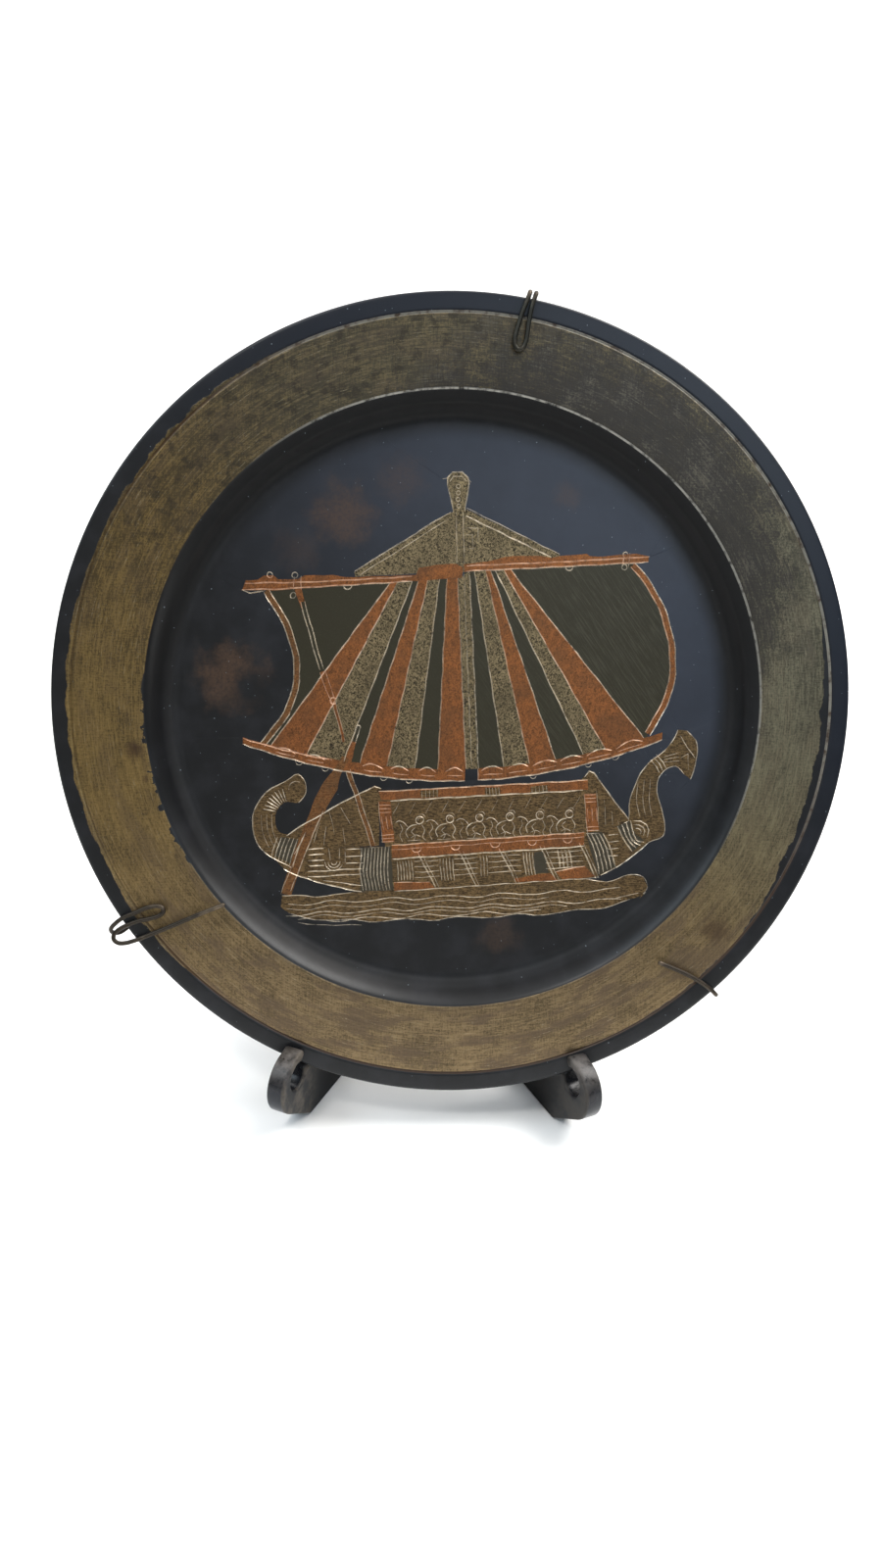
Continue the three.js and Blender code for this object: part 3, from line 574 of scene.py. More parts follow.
def draw_sea(d):
    """Water under the hull: an outline with a waved bottom, and five waved lines in it."""
    wave_length = 12.6

    def swell(x, size, lag):
        """Sine wave along x."""
        return size * np.sin(2 * np.pi * (x + lag) / wave_length)

    def bottom(x):
        """The sea's lower edge: a flat-bottomed fourth-power curve with a sine wave on it."""
        return -47.2 + 2.3 * np.abs(x / 38) ** 4 + swell(x, 0.3, 3)

    low = curve_over(np.linspace(-37.9, 38, 40), bottom)
    top_left = [(-39.3, -40.5), (-35, -40.7), (-31, -41.1), (-24, -40.4)]
    top_right = [(28, -39.4), (33, -40.4), (37.6, -39), (41, -39.6), (42, -41.8), (41, -44)]
    under_hull = curve_over(np.linspace(26, -20, 12), keel)
    d.area(BRASS, np.concatenate([low, top_right[::-1], under_hull, top_left[::-1], [(-39.6, -43)]]))
    d.line(low, 0.24)
    d.curve(top_left, 0.26, 4)
    d.curve(top_right, 0.22, 4)
    waves = ((-42.3, -38, 36), (-43.4, -38.4, 20), (-44.7, -38.6, 36), (-45.5, -36, 24), (-46.4, -30, 18))
    for k, (y, start, end) in enumerate(waves):
        x = np.linspace(start, end, 44)
        wave = y + swell(x, 0.35, 2.4 * (k // 2) + 6) + 0.3 * (x / 38) ** 3
        d.line(np.stack([x, wave], 1), 0.18 if k % 2 else 0.26)
    d.line([(34, -44.4), (40, -43.2)], 0.24)
    d.line([(-22, -47.9), (-32, -47.5), (-38, -46.4)], 0.18)


def draw_ship():
    """All parts of the drawing, those in front drawn last."""
    d = Drawing()
    for draw in (draw_stays, draw_masthead, draw_sail, draw_yard, draw_lower_yard, draw_stern, draw_castles,
                 draw_deckhouse, draw_rowers, draw_hull, draw_bow, draw_rail, draw_sea, draw_ropes,
                 draw_steering):
        draw(d)
    return d


# ---- the plate ----
LINE_DEPTH = 0.12                # of an engraved line of ordinary width
ORDINARY_HALF = 0.13             # half that width; a narrower line is shallower
DEEPEST = 1.2                    # the widest lines are deeper by this
CUT_SHOWS = 0.002                # a cut deeper than this shows bright metal
POINTS_AT_ONCE = 2000            # points whose distances to all lines are worked out together
WELL_DEPTH = 6
FLOOR_RADIUS = 60
DRAWN_RADIUS = FLOOR_RADIUS - 0.3
WELL_EDGE = 65.7
BAND_OUTER = 80.8
ROUND_THE_PLATE = 540


def line_cells(run, width):
    """Points and edges of one engraved line: its centre and both sides, and a bar across at each point.

    The sides lie half a width away along the mean normal of the two steps that meet at a point."""
    steps = np.diff(run, axis=0)
    steps /= np.maximum(np.linalg.norm(steps, axis=1), 1e-9)[:, None]
    before, after = np.concatenate([steps[:1], steps]), np.concatenate([steps, steps[-1:]])
    mean = before + after
    mean /= np.maximum(np.linalg.norm(mean, axis=1), 0.2)[:, None]
    mitre = np.maximum((mean * after).sum(1), 0.6)
    across = np.stack([-mean[:, 1], mean[:, 0]], 1) * (width / 2 / mitre)[:, None]
    count = len(run)
    along, bars = np.arange(count - 1), np.arange(count)
    edges = [np.stack([along + k * count, along + k * count + 1], 1) for k in range(3)]
    edges += [np.stack([bars, bars + k * count], 1) for k in (1, 2)]
    return np.concatenate([run, run + across, run - across]), np.concatenate(edges)


def groove(points, lines):
    """Depth of the engraving at each point, in mm, and the brightness of the line that cuts it.

    Each line is a V: full depth on its centre, none half a width away; the deepest line wins."""
    start = np.concatenate([run[:-1] for run, _, _ in lines])
    end = np.concatenate([run[1:] for run, _, _ in lines])
    half = np.concatenate([(width[:-1] + width[1:]) / 4 for _, width, _ in lines])
    shine = np.concatenate([np.full(len(run) - 1, bright) for run, _, bright in lines])
    way = end - start
    length = np.maximum((way ** 2).sum(1), 1e-12)
    depth, bright = np.zeros(len(points)), np.zeros(len(points))
    for block in np.array_split(np.arange(len(points)), max(1, len(points) // POINTS_AT_ONCE)):
        apart = points[block, None] - start
        share = np.clip((apart * way).sum(2) / length, 0, 1)
        distance = np.linalg.norm(apart - share[..., None] * way, axis=2)
        cuts = LINE_DEPTH * np.minimum(half / ORDINARY_HALF, DEEPEST) * np.clip(1 - distance / half, 0, 1)
        deepest = cuts.argmax(1)
        depth[block] = cuts[np.arange(len(block)), deepest]
        bright[block] = shine[deepest] * (depth[block] > CUT_SHOWS)
    return depth, bright


def inside(points, outline):
    """Whether each point lies inside the closed outline, by counting the edges that pass to its right."""
    low, high = outline.min(0), outline.max(0)
    within = np.nonzero(((points > low) & (points < high)).all(1))[0]
    x, y = points[within, 0, None], points[within, 1, None]
    start, end = outline, np.roll(outline, -1, 0)
    rise = np.where(end[:, 1] == start[:, 1], 1e-12, end[:, 1] - start[:, 1])
    crosses = (start[:, 1] > y) != (end[:, 1] > y)
    to_right = x < start[:, 0] + (end[:, 0] - start[:, 0]) * (y - start[:, 1]) / rise
    found = np.zeros(len(points), bool)
    found[within] = (crosses & to_right).sum(1) % 2 == 1
    return found


def engraved_floor(drawing):
    """The well's floor as triangles that follow every area and line, with the finish of each triangle.

    A constrained Delaunay mesh of the disc, the outlines of the areas and the cells of the lines. A triangle
    takes the finish of the last area drawn over its middle, and is cut metal where a line covers it."""
    angle = 2 * np.pi * np.arange(ROUND_THE_PLATE) / ROUND_THE_PLATE - SHIP_TURN
    disc = FLOOR_RADIUS * np.stack([np.cos(angle), np.sin(angle)], 1)
    ring = np.arange(ROUND_THE_PLATE)
    points, edges, count = [disc], [np.stack([ring, np.roll(ring, -1)], 1)], ROUND_THE_PLATE
    for _, outline in drawing.areas:
        ring = count + np.arange(len(outline))
        points.append(outline)
        edges.append(np.stack([ring, np.roll(ring, -1)], 1))
        count += len(outline)
    for run, width, _ in drawing.lines:
        cells, sides = line_cells(run, width)
        points.append(cells)
        edges.append(count + sides)
        count += len(cells)
    points, edges = np.concatenate(points), np.concatenate(edges)
    away = np.linalg.norm(points, axis=1, keepdims=True)
    drawn = np.arange(len(points))[:, None] >= ROUND_THE_PLATE
    points = np.where(drawn & (away > DRAWN_RADIUS), points * DRAWN_RADIUS / away, points)
    made = delaunay_2d_cdt([Vector(p) for p in points], edges.tolist(), [], 1, 1e-4, False)
    flat, triangles = np.array([tuple(p) for p in made[0]]), np.array(made[2])
    middle = flat[triangles].mean(1)
    finish = np.full(len(triangles), PATINA, float)
    for kind, outline in drawing.areas:
        finish[inside(middle, outline)] = kind
    return flat, triangles, finish, groove(middle, drawing.lines)[1]


def plate_section():
    """Section of the plate outside its floor, as [radius, depth], from the floor's edge to the back's middle.

    The wall's front is a smooth run through a few points; its back is that run moved by the sheet's thickness
    along its normal. The lip droops as the square of the way across it, and the rim is a half circle."""
    groove_half, groove_low = 0.34, 0.28
    lip_start, lip_end, roll = BAND_OUTER + groove_half, PLATE_RADIUS - SHEET / 2, SHEET / 2
    # rounded over at the top, steep below, and dished into the floor
    wall = catmull_rom([(FLOOR_RADIUS, WELL_DEPTH), (60.5, 5.98), (61, 5.84), (61.5, 5.42), (62.3, 4.2),
                        (63.6, 2.2), (64.5, 1.05), (65.2, 0.38), (WELL_EDGE + 0.1, 0.06),
                        (WELL_EDGE + 0.6, 0)], 3)
    band = [(69, 0), (73, 0), (77, 0), (BAND_OUTER - groove_half - 0.2, 0),
            (BAND_OUTER - groove_half, 0.01), (BAND_OUTER - 0.12, groove_low * 0.7), (BAND_OUTER, groove_low),
            (BAND_OUTER + 0.12, groove_low * 0.7), (lip_start, 0.02)]
    share = np.linspace(0, 1, 7)[1:]
    lip_top, droop = 0.02, 0.1
    lip = np.stack([lip_start + (lip_end - lip_start) * share, lip_top + droop * share ** 2], 1)
    angle = np.linspace(0, np.pi, 11)[1:]
    front_roll = roll - (lip_top + droop) * (angle < 1.5)
    rim = np.stack([lip_end + roll * np.sin(angle), roll - front_roll * np.cos(angle)], 1)
    back = [(82, SHEET), (74, SHEET), (68, SHEET)]
    run = np.gradient(wall[1:-1], axis=0)
    run /= np.linalg.norm(run, axis=1)[:, None]
    behind_wall = (wall[1:-1] + SHEET * np.stack([-run[:, 1], run[:, 0]], 1))[::-1]
    bottom = [(r, WELL_DEPTH + SHEET) for r in (57, 50, 38, 26, 14, 4)]
    return np.concatenate([wall, band, lip, rim, back, behind_wall, bottom])


def make_plate():
    """Turned section round the engraved floor: each point of the section goes round the axis as a circle."""
    section = plate_section()
    angle = 2 * np.pi * np.arange(ROUND_THE_PLATE) / ROUND_THE_PLATE
    radius, depth = section[:, 0, None], section[:, 1, None]
    turned = np.stack([radius * np.cos(angle), depth + 0 * angle, radius * np.sin(angle)], 2).reshape(-1, 3)
    last = len(section) - 1
    centre_back = len(turned)
    rim_quads = ring_quads(len(section), ROUND_THE_PLATE)[:, ::-1]
    j = np.arange(ROUND_THE_PLATE)
    first_of_last = last * ROUND_THE_PLATE
    cap = np.stack([first_of_last + (j + 1) % ROUND_THE_PLATE, first_of_last + j,
                    np.full(ROUND_THE_PLATE, centre_back)], 1)

    drawing = draw_ship()
    flat, triangles, finish, cut = engraved_floor(drawing)
    depth = WELL_DEPTH + groove(flat, drawing.lines)[0]
    cosine, sine = math.cos(SHIP_TURN), math.sin(SHIP_TURN)
    turn = np.array([[cosine, sine], [-sine, cosine]])
    across = flat @ turn
    floor = np.stack([across[:, 0], depth, across[:, 1]], 1)
    # the floor's outermost points are the section's first ring
    on_edge = np.linalg.norm(across, axis=1) > FLOOR_RADIUS - 0.001
    at = np.round(np.arctan2(across[:, 1], across[:, 0]) / (2 * np.pi) * ROUND_THE_PLATE).astype(int)
    index = np.where(on_edge, at % ROUND_THE_PLATE, centre_back + 1 + np.arange(len(floor)))
    points = np.concatenate([turned, [[0, WELL_DEPTH + SHEET, 0]], floor])
    used = np.concatenate([np.ones(centre_back + 1, bool), ~on_edge])
    place = np.cumsum(used) - 1
    triangles = place[index[triangles]]

    groups = [rim_quads, cap, triangles]
    counts = [len(group) for group in groups]
    smooth = np.repeat([True, False, False], counts)
    piece = add_piece("engraved_plate", on_plate(points[used]), groups, smooth)
    none = np.zeros(counts[0] + counts[1])
    for name, values in (("finish", np.concatenate([none, finish])), ("cut", np.concatenate([none, cut]))):
        piece.data.attributes.new(name, "FLOAT", "FACE").data.foreach_set("value", values)
    clean(piece)
    return piece


# ---- the hanging wire: route points are [degrees round the rim, radius, height over the front], in mm ----
WIRE_RADIUS = 0.485
WIRE_STEPS = 9                   # between two route points
WIRE_SIDES = 14
OVER_RIM = [(85.9, 0.3), (86.15, -0.7), (85.4, -1.9), (82.5, -2.5)]
LOWER_RIGHT_CLAW = [(-49.1, 71.7, 1.5), (-47.6, 75.5, 1.2), (-46.4, 79.5, 1), (-45.7, 83.5, 0.95)]
TOP_CLAW = [(81.35, 83.6, 0.95), (81.4, 80.4, 0.95), (81.3, 75.9, 0.95), (81.6, 74.7, 0.95),
            (82.15, 74.3, 0.95), (82.7, 74.7, 0.95), (83, 75.9, 0.95), (82.7, 80.3, 0.95),
            (82.25, 83.6, 0.95)]
LOWER_LEFT_CLAW = [
    (-144, 82.5, -2.5), (-144, 85.3, -2.2), (-144, 87.2, -1.9), (-144.3, 88.1, -1.4), (-144.8, 88.4, -0.7),
    (-145.3, 87.8, 0.2), (-145.6, 86.2, 0.85), (-145.7, 84, 1), (-145.4, 81.6, 1), (-145, 78.5, 1),
    (-144.4, 76.6, 1), (-143.7, 75.9, 1), (-143.1, 76.2, 1), (-142.9, 77.3, 1), (-143.3, 79.2, 1),
    (-144, 81.6, 1), (-144.4, 83.8, 1), (-144.6, 86, 0.95), (-144.4, 87.8, 0.95), (-143.8, 88.5, 0.95),
    (-143.1, 88.2, 0.95), (-142.5, 87, 0.95), (-142, 85, 1), (-141.3, 81.2, 1.1), (-140.6, 77.5, 1.3),
    (-139.2, 70.3, 2.2), (-137.8, 64.8, 3),
]


def round_rim(points):
    """[degrees, radius, height] to [right, depth, up]."""
    degrees, radius, height = np.array(points, float).T
    angle = np.radians(degrees)
    return np.stack([radius * np.cos(angle), -height, radius * np.sin(angle)], 1)


def wire_route():
    """Places [right, depth, up] along the wire: over the rim at each claw, and straight behind the plate."""
    clear_of_well = WELL_DEPTH + SHEET + 1

    def over(degrees):
        """Round the rim at one angle, from its front to behind it."""
        return [(degrees, radius, height) for radius, height in OVER_RIM]

    def behind(start, end, shares):
        """Places on the straight from start to end, all at the depth that clears the well."""
        start, end = round_rim([start])[0], round_rim([end])[0]
        run = start + (end - start) * np.array(shares)[:, None]
        run[:, 1] = clear_of_well
        return run

    right = LOWER_RIGHT_CLAW + over(-45.6)
    top = over(81.1)[::-1] + TOP_CLAW + over(81.95)
    return np.concatenate([
        round_rim(right), behind(right[-1], top[0], [0.14, 0.5, 0.86]),
        round_rim(top), behind(top[-1], LOWER_LEFT_CLAW[0], [0.12, 0.5, 0.88]),
        round_rim(LOWER_LEFT_CLAW),
    ])


def tube(route, radius, around):
    """Round tube along a route, with domed ends: at each point of the route a circle square to its run.

    The circle's own direction is carried from one point to the next by taking out what lies along the run."""
    run = np.gradient(route, axis=0)
    run /= np.linalg.norm(run, axis=1)[:, None]
    side = np.zeros_like(route)
    side[0] = np.cross(run[0], [0, 1, 0.3])
    for i in range(1, len(route)):
        side[i] = side[i - 1] - run[i] * (side[i - 1] @ run[i])
        side[i] /= np.linalg.norm(side[i])
    side[0] /= np.linalg.norm(side[0])
    other = np.cross(run, side)
    # domed ends: rings past each end that shrink by the cosine of these angles
    dome = np.radians([25, 50, 72])
    start = route[0] - run[0] * (radius * np.sin(dome))[::-1, None]
    end = route[-1] + run[-1] * (radius * np.sin(dome))[:, None]
    centre = np.concatenate([start, route, end])
    grow = np.concatenate([np.cos(dome)[::-1], np.ones(len(route)), np.cos(dome)]) * radius
    side, other = (np.pad(way, ((len(dome), len(dome)), (0, 0)), "edge") for way in (side, other))
    angle = 2 * np.pi * np.arange(around) / around
    ring = side[:, None] * np.cos(angle)[:, None] + other[:, None] * np.sin(angle)[:, None]
    points = (centre[:, None] + ring * grow[:, None, None]).reshape(-1, 3)
    tips = np.array([route[0] - run[0] * radius, route[-1] + run[-1] * radius])
    quads = ring_quads(len(centre), around)
    j = np.arange(around)
    k = (j + 1) % around
    last = (len(centre) - 1) * around
    caps = np.concatenate([np.stack([k, j, np.full(around, len(points))], 1),
                           np.stack([last + j, last + k, np.full(around, len(points) + 1)], 1)])
    return np.concatenate([points, tips]), [quads, caps]


def make_wire():
    """Tube along the smooth run through the route."""
    points, faces = tube(catmull_rom(wire_route(), WIRE_STEPS), WIRE_RADIUS, WIRE_SIDES)
    return add_piece("hanger_wire", on_plate(points), faces)


# ---- the stand: each side is drawn as [length to the rear, height] from under its hook's tip, in mm ----
STAND_TURN = math.radians(24.75)
STAND_THICKNESS = 4.2
EDGE_ROUND = 0.45
GAP = 0.3
HOOK_CENTRE, HOOK_RADIUS = (-1.2, 12.4), 7.1
HOOK_INNER, HOOK_INNER_RADIUS, HOOK_TIP = (-1.6, 14.4), 3.3, 20
REAR, REAR_HEIGHT, TOP, BAR, BASE = 73, 26, 80, 7.5, 8
REACH = HOOK_RADIUS - HOOK_CENTRE[0]           # how far the hook stands ahead of its tip
STAND_MIDDLE = (left_high[0] + right_low[0]) / 2 / MM
TIP_AHEAD = right_low[1] / MM + REACH * math.cos(STAND_TURN)
TIP_ASIDE = (right_high[0] / MM - STAND_MIDDLE
             - REACH * math.sin(STAND_TURN) - STAND_THICKNESS * math.cos(STAND_TURN))
SEAT_FRONT, SEAT_SLOPE = 14.1, 0.42            # the rim's seat climbs outwards with the rim
TIE_AT = 68.8                                  # an edge joins the foot and the rear slope here
FACE_MARGIN = 0.2                              # the flat faces start this far inside the rounded edge


def upright_front(height):
    """Front of the upright at a height: just behind the back of the leaning plate."""
    centre = PLATE_CENTRE / MM
    behind = (WELL_DEPTH + SHEET + GAP) / math.cos(LEAN)
    back = (height - centre[2]) * math.tan(LEAN) + behind + centre[1]
    return (back - TIP_AHEAD) / math.cos(STAND_TURN)


def arc(centre, radius, start, end, steps):
    """Part of a circle, from start to end degrees."""
    angle = np.radians(np.linspace(start, end, steps))
    return np.stack([centre[0] + radius * np.cos(angle), centre[1] + radius * np.sin(angle)], 1)


def side_outlines():
    """Outer outline and the opening, as straight runs, quadratic curves and parts of circles."""
    f = upright_front
    outer = np.concatenate([
        arc((4.4, 1.2), 1.2, 233, 270, 4), [(TIE_AT, 0)], arc((REAR - 1, 1), 1, -80, 0, 4),
        bend((REAR, REAR_HEIGHT - 2), (REAR, REAR_HEIGHT), (REAR - 1.4, REAR_HEIGHT + 2), 4),
        [(TIE_AT, REAR_HEIGHT + 5.6)],
        bend((f(TOP) + BAR + 1.5, TOP - 3), (f(TOP) + BAR / 2, TOP + 3), (f(TOP - 3), TOP - 3), 10),
        [(f(50), 50), (f(22), 22)], bend((f(19), 19), (f(19) - 1.5, 16.6), (7.5, 16.4), 6),
        bend((4.2, 16.1), (3.3, 16), (3.2, 15.4), 3), [(3.1, SEAT_FRONT), (1.9, SEAT_FRONT)],
        arc(HOOK_INNER, HOOK_INNER_RADIUS, -18, -298, 20),
        bend((0.9, HOOK_TIP - 1.6), (1.2, HOOK_TIP - 0.2), (0, HOOK_TIP), 5),
        arc(HOOK_CENTRE, HOOK_RADIUS, 100, 233, 26),
    ])
    front = [f(14) + BAR, f(62) + BAR]
    opening = np.concatenate([
        bend((f(BASE) + BAR + 4, BASE), (f(BASE) + BAR - 1.5, BASE), (front[0], 14), 6),
        bend((f(59) + BAR, 59), (front[1], 62.4), (front[1] + 1.6, 59.6), 6),
        bend((60, 19), (63.5, BASE + 2), (58, BASE), 8),
    ])
    return outer, opening


def inset(outline, distance):
    """The closed outline moved towards its left by the distance, along the mean normal at each point."""
    after = np.roll(outline, -1, 0) - outline
    after /= np.linalg.norm(after, axis=1)[:, None]
    before = np.roll(after, 1, 0)
    mean = before + after
    mean /= np.maximum(np.linalg.norm(mean, axis=1), 0.3)[:, None]
    mitre = np.maximum((mean * after).sum(1), 0.7)
    return outline + np.stack([-mean[:, 1], mean[:, 0]], 1) * (distance / mitre)[:, None]


def rounded_slab(outlines, thickness, radius, tie):
    """Flat piece whose outlines carry a quarter round at both faces, which a constrained Delaunay mesh fills.

    Points come back as [length, height, offset through the thickness]. tie names two points of the first
    outline that an edge joins across each face."""
    angle = np.linspace(0, np.pi / 2, 5)
    into, down = radius * (1 - np.sin(angle)), radius * (1 - np.cos(angle))
    middle = radius + FACE_MARGIN
    sections = np.concatenate([[(middle, 0)], np.stack([into, down], 1),
                               np.stack([into, thickness - down], 1)[::-1], [(middle, thickness)]])
    points, quads, rims, first = [], [], [], 0
    for outline in outlines:
        count = len(outline)
        rings = [np.column_stack([inset(outline, d), np.full(count, t)]) for d, t in sections]
        points.append(np.concatenate(rings))
        quads.append(first + ring_quads(len(rings), count))
        ring = first + np.arange(count)
        rims.append((ring, ring + (len(rings) - 1) * count, rings[0][:, :2]))
        first += len(rings) * count
    flat = np.concatenate([rim[2] for rim in rims])
    loops = np.split(np.arange(len(flat)), np.cumsum([len(rim[2]) for rim in rims])[:-1])
    loops[1:] = [loop[::-1] for loop in loops[1:]]
    made = delaunay_2d_cdt([Vector(p) for p in flat], [tie], [loop.tolist() for loop in loops], 1, 1e-5)
    source = np.array([ids[0] for ids in made[3]])
    keep = [max(ids) == 0 for ids in made[5]]
    triangles = source[np.array(made[2])[keep]]
    near, far = (np.concatenate([rim[side] for rim in rims]) for side in (0, 1))
    faces = [np.concatenate(quads), near[triangles][:, ::-1], far[triangles]]
    return np.concatenate(points), faces


def make_side(name, side):
    """One side of the stand; side is -1 for the left one and 1 for the right one.

    The slab's length runs back and to the middle, turned by STAND_TURN, and its thickness runs outwards."""
    outer, opening = side_outlines()
    rear = np.nonzero(outer[:, 0] == TIE_AT)[0]
    points, faces = rounded_slab([outer, opening], STAND_THICKNESS, EDGE_ROUND, tuple(int(i) for i in rear))
    length, height, offset = points.T
    on_seat = (length > 1.2) & (length < 4) & (height > SEAT_FRONT - 1) & (height < SEAT_FRONT + 0.8)
    height = height + np.where(on_seat, SEAT_SLOPE * offset, 0)
    sine, cosine = math.sin(STAND_TURN), math.cos(STAND_TURN)
    x = STAND_MIDDLE + side * (TIP_ASIDE - length * sine + offset * cosine)
    y = TIP_AHEAD + length * cosine + offset * sine
    # the mitre where the two sides meet
    x = STAND_MIDDLE + side * np.maximum(side * (x - STAND_MIDDLE), GAP / 2)
    if side < 0:
        faces = [group[:, ::-1] for group in faces]
    return add_piece(name, np.stack([x, y, height], 1) * MM, faces)


# ---- materials ----
def tint(red, green, blue):
    """Colour given as 0 to 255 on a screen, as the linear values a shader takes."""
    share = np.array([red, green, blue]) / 255
    linear = np.where(share <= 0.04045, share / 12.92, ((share + 0.055) / 1.055) ** 2.4)
    return (*linear.tolist(), 1)


class Socket:
    """A shader socket that can be used in sums like a number."""

    def __init__(self, finish, link):
        self.finish, self.link = finish, link

    def sum(self, operation, *values):
        return self.finish.node("ShaderNodeMath", {"operation": operation}, dict(enumerate(values)))

    def __add__(self, other):
        return self.sum("ADD", self, other)

    def __radd__(self, other):
        return self.sum("ADD", other, self)

    def __sub__(self, other):
        return self.sum("SUBTRACT", self, other)

    def __rsub__(self, other):
        return self.sum("SUBTRACT", other, self)

    def __mul__(self, other):
        return self.sum("MULTIPLY", self, other)

    def __rmul__(self, other):
        return self.sum("MULTIPLY", other, self)

    def __truediv__(self, other):
        return self.sum("DIVIDE", self, other)

    def __pow__(self, other):
        return self.sum("POWER", self, other)

    def near(self, other, reach=0.5):
        """1 where the two are no further apart than reach, and 0 elsewhere."""
        return self.sum("COMPARE", self, other, reach)

    def most(self, other):
        return self.sum("MAXIMUM", self, other)

    def least(self, other):
        return self.sum("MINIMUM", self, other)


class Finish:
    """A material and the one method that adds nodes to it."""

    def __init__(self, name):
        self.material = bpy.data.materials.new(name)
        self.material.use_nodes = True
        self.tree = self.material.node_tree
        self.tree.nodes.clear()

    def node(self, kind, settings=None, inputs=None, output=0):
        """A node: its settings, then a value or a link for each socket that inputs names or numbers."""
        made = self.tree.nodes.new(kind)
        for name, value in (settings or {}).items():
            setattr(made, name, value)
        for key, value in (inputs or {}).items():
            if isinstance(value, Socket):
                self.tree.links.new(value.link, made.inputs[key])
            else:
                made.inputs[key].default_value = value
        return Socket(self, made.outputs[output] if made.outputs else None)

    def noise(self, vector, scale, detail=3, roughness=0.5, distortion=0):
        """Cloudy noise, from about 0 to 1, on the place that vector gives."""
        return self.node("ShaderNodeTexNoise", None, {
            "Vector": vector, "Scale": scale, "Detail": detail, "Roughness": roughness,
            "Distortion": distortion})

    def rise(self, value, low, high):
        """0 below low, 1 above high, smooth between; falls instead where low is the higher."""
        if low > high:
            return 1 - self.rise(value, high, low)
        return self.node("ShaderNodeMapRange", {"interpolation_type": "SMOOTHSTEP"}, {
            "Value": value, "From Min": low, "From Max": high})

    def mix(self, first, second, factor):
        """The first colour where factor is 0, the second where it is 1."""
        return self.node("ShaderNodeMix", {"data_type": "RGBA"}, {0: factor, 6: first, 7: second}, 2)

    def coats(self, colour, *layers):
        """The colour under layers of paint, each given with its share, the first one lowest."""
        for paint, share in layers:
            colour = self.mix(colour, paint, share)
        return colour

    def vector(self, x, y, z):
        return self.node("ShaderNodeCombineXYZ", None, {0: x, 1: y, 2: z})

    def parts(self, vector):
        """The three coordinates of a place."""
        made = self.node("ShaderNodeSeparateXYZ", None, {0: vector}).link.node
        return [Socket(self, output) for output in made.outputs]

    def attribute(self, name):
        return self.node("ShaderNodeAttribute", {"attribute_name": name}, None, "Fac")

    def surface(self, **inputs):
        """The finished surface, named by the Principled shader's own sockets."""
        named = {name.replace("_", " "): value for name, value in inputs.items()}
        shader = self.node("ShaderNodeBsdfPrincipled", None, named)
        self.node("ShaderNodeOutputMaterial", None, {"Surface": shader})
        return self.material

    def bump(self, height, strength, distance):
        return self.node("ShaderNodeBump", None, {
            "Strength": strength, "Distance": distance, "Height": height})

    def place(self):
        """The place on the piece, in its own object coordinates."""
        return self.node("ShaderNodeTexCoord", None, None, "Object")


# soft copper-brown rubs on the floor: right, up, radius in mm, strength
RUBS = ((-48.4, 4.7, 9.5, 1.0), (-25, 39.8, 8.5, 0.85), (-13, 47.4, 7, 0.4), (22.8, 45.8, 4, 0.45),
        (-34.3, 32.2, 6, 0.3), (12.3, -51, 6, 0.45))
RUB_GAP = (-44.2, 2.4, 5.4, 1.0)         # the first rub is open in its middle, like a crescent
# brown stains on the band, the same way
BAND_STAINS = ((-67.5, -11.3, 2.6, 1.0), (-64.9, -17.4, 1.3, 0.7), (-61.6, -20.6, 1.6, 0.5),
               (59, -46.8, 4.4, 0.8))


def spots(m, places, x, up, drift):
    """Soft round spots, the strongest of them at each point, their edges moved by drift."""
    found = 0.0
    for place_x, place_up, size, strength in places:
        away = ((x - place_x) ** 2 + (up - place_up) ** 2) ** 0.5
        spot = m.rise(away + drift * size, size, size * 0.2) * strength
        found = spot.most(found)
    return found


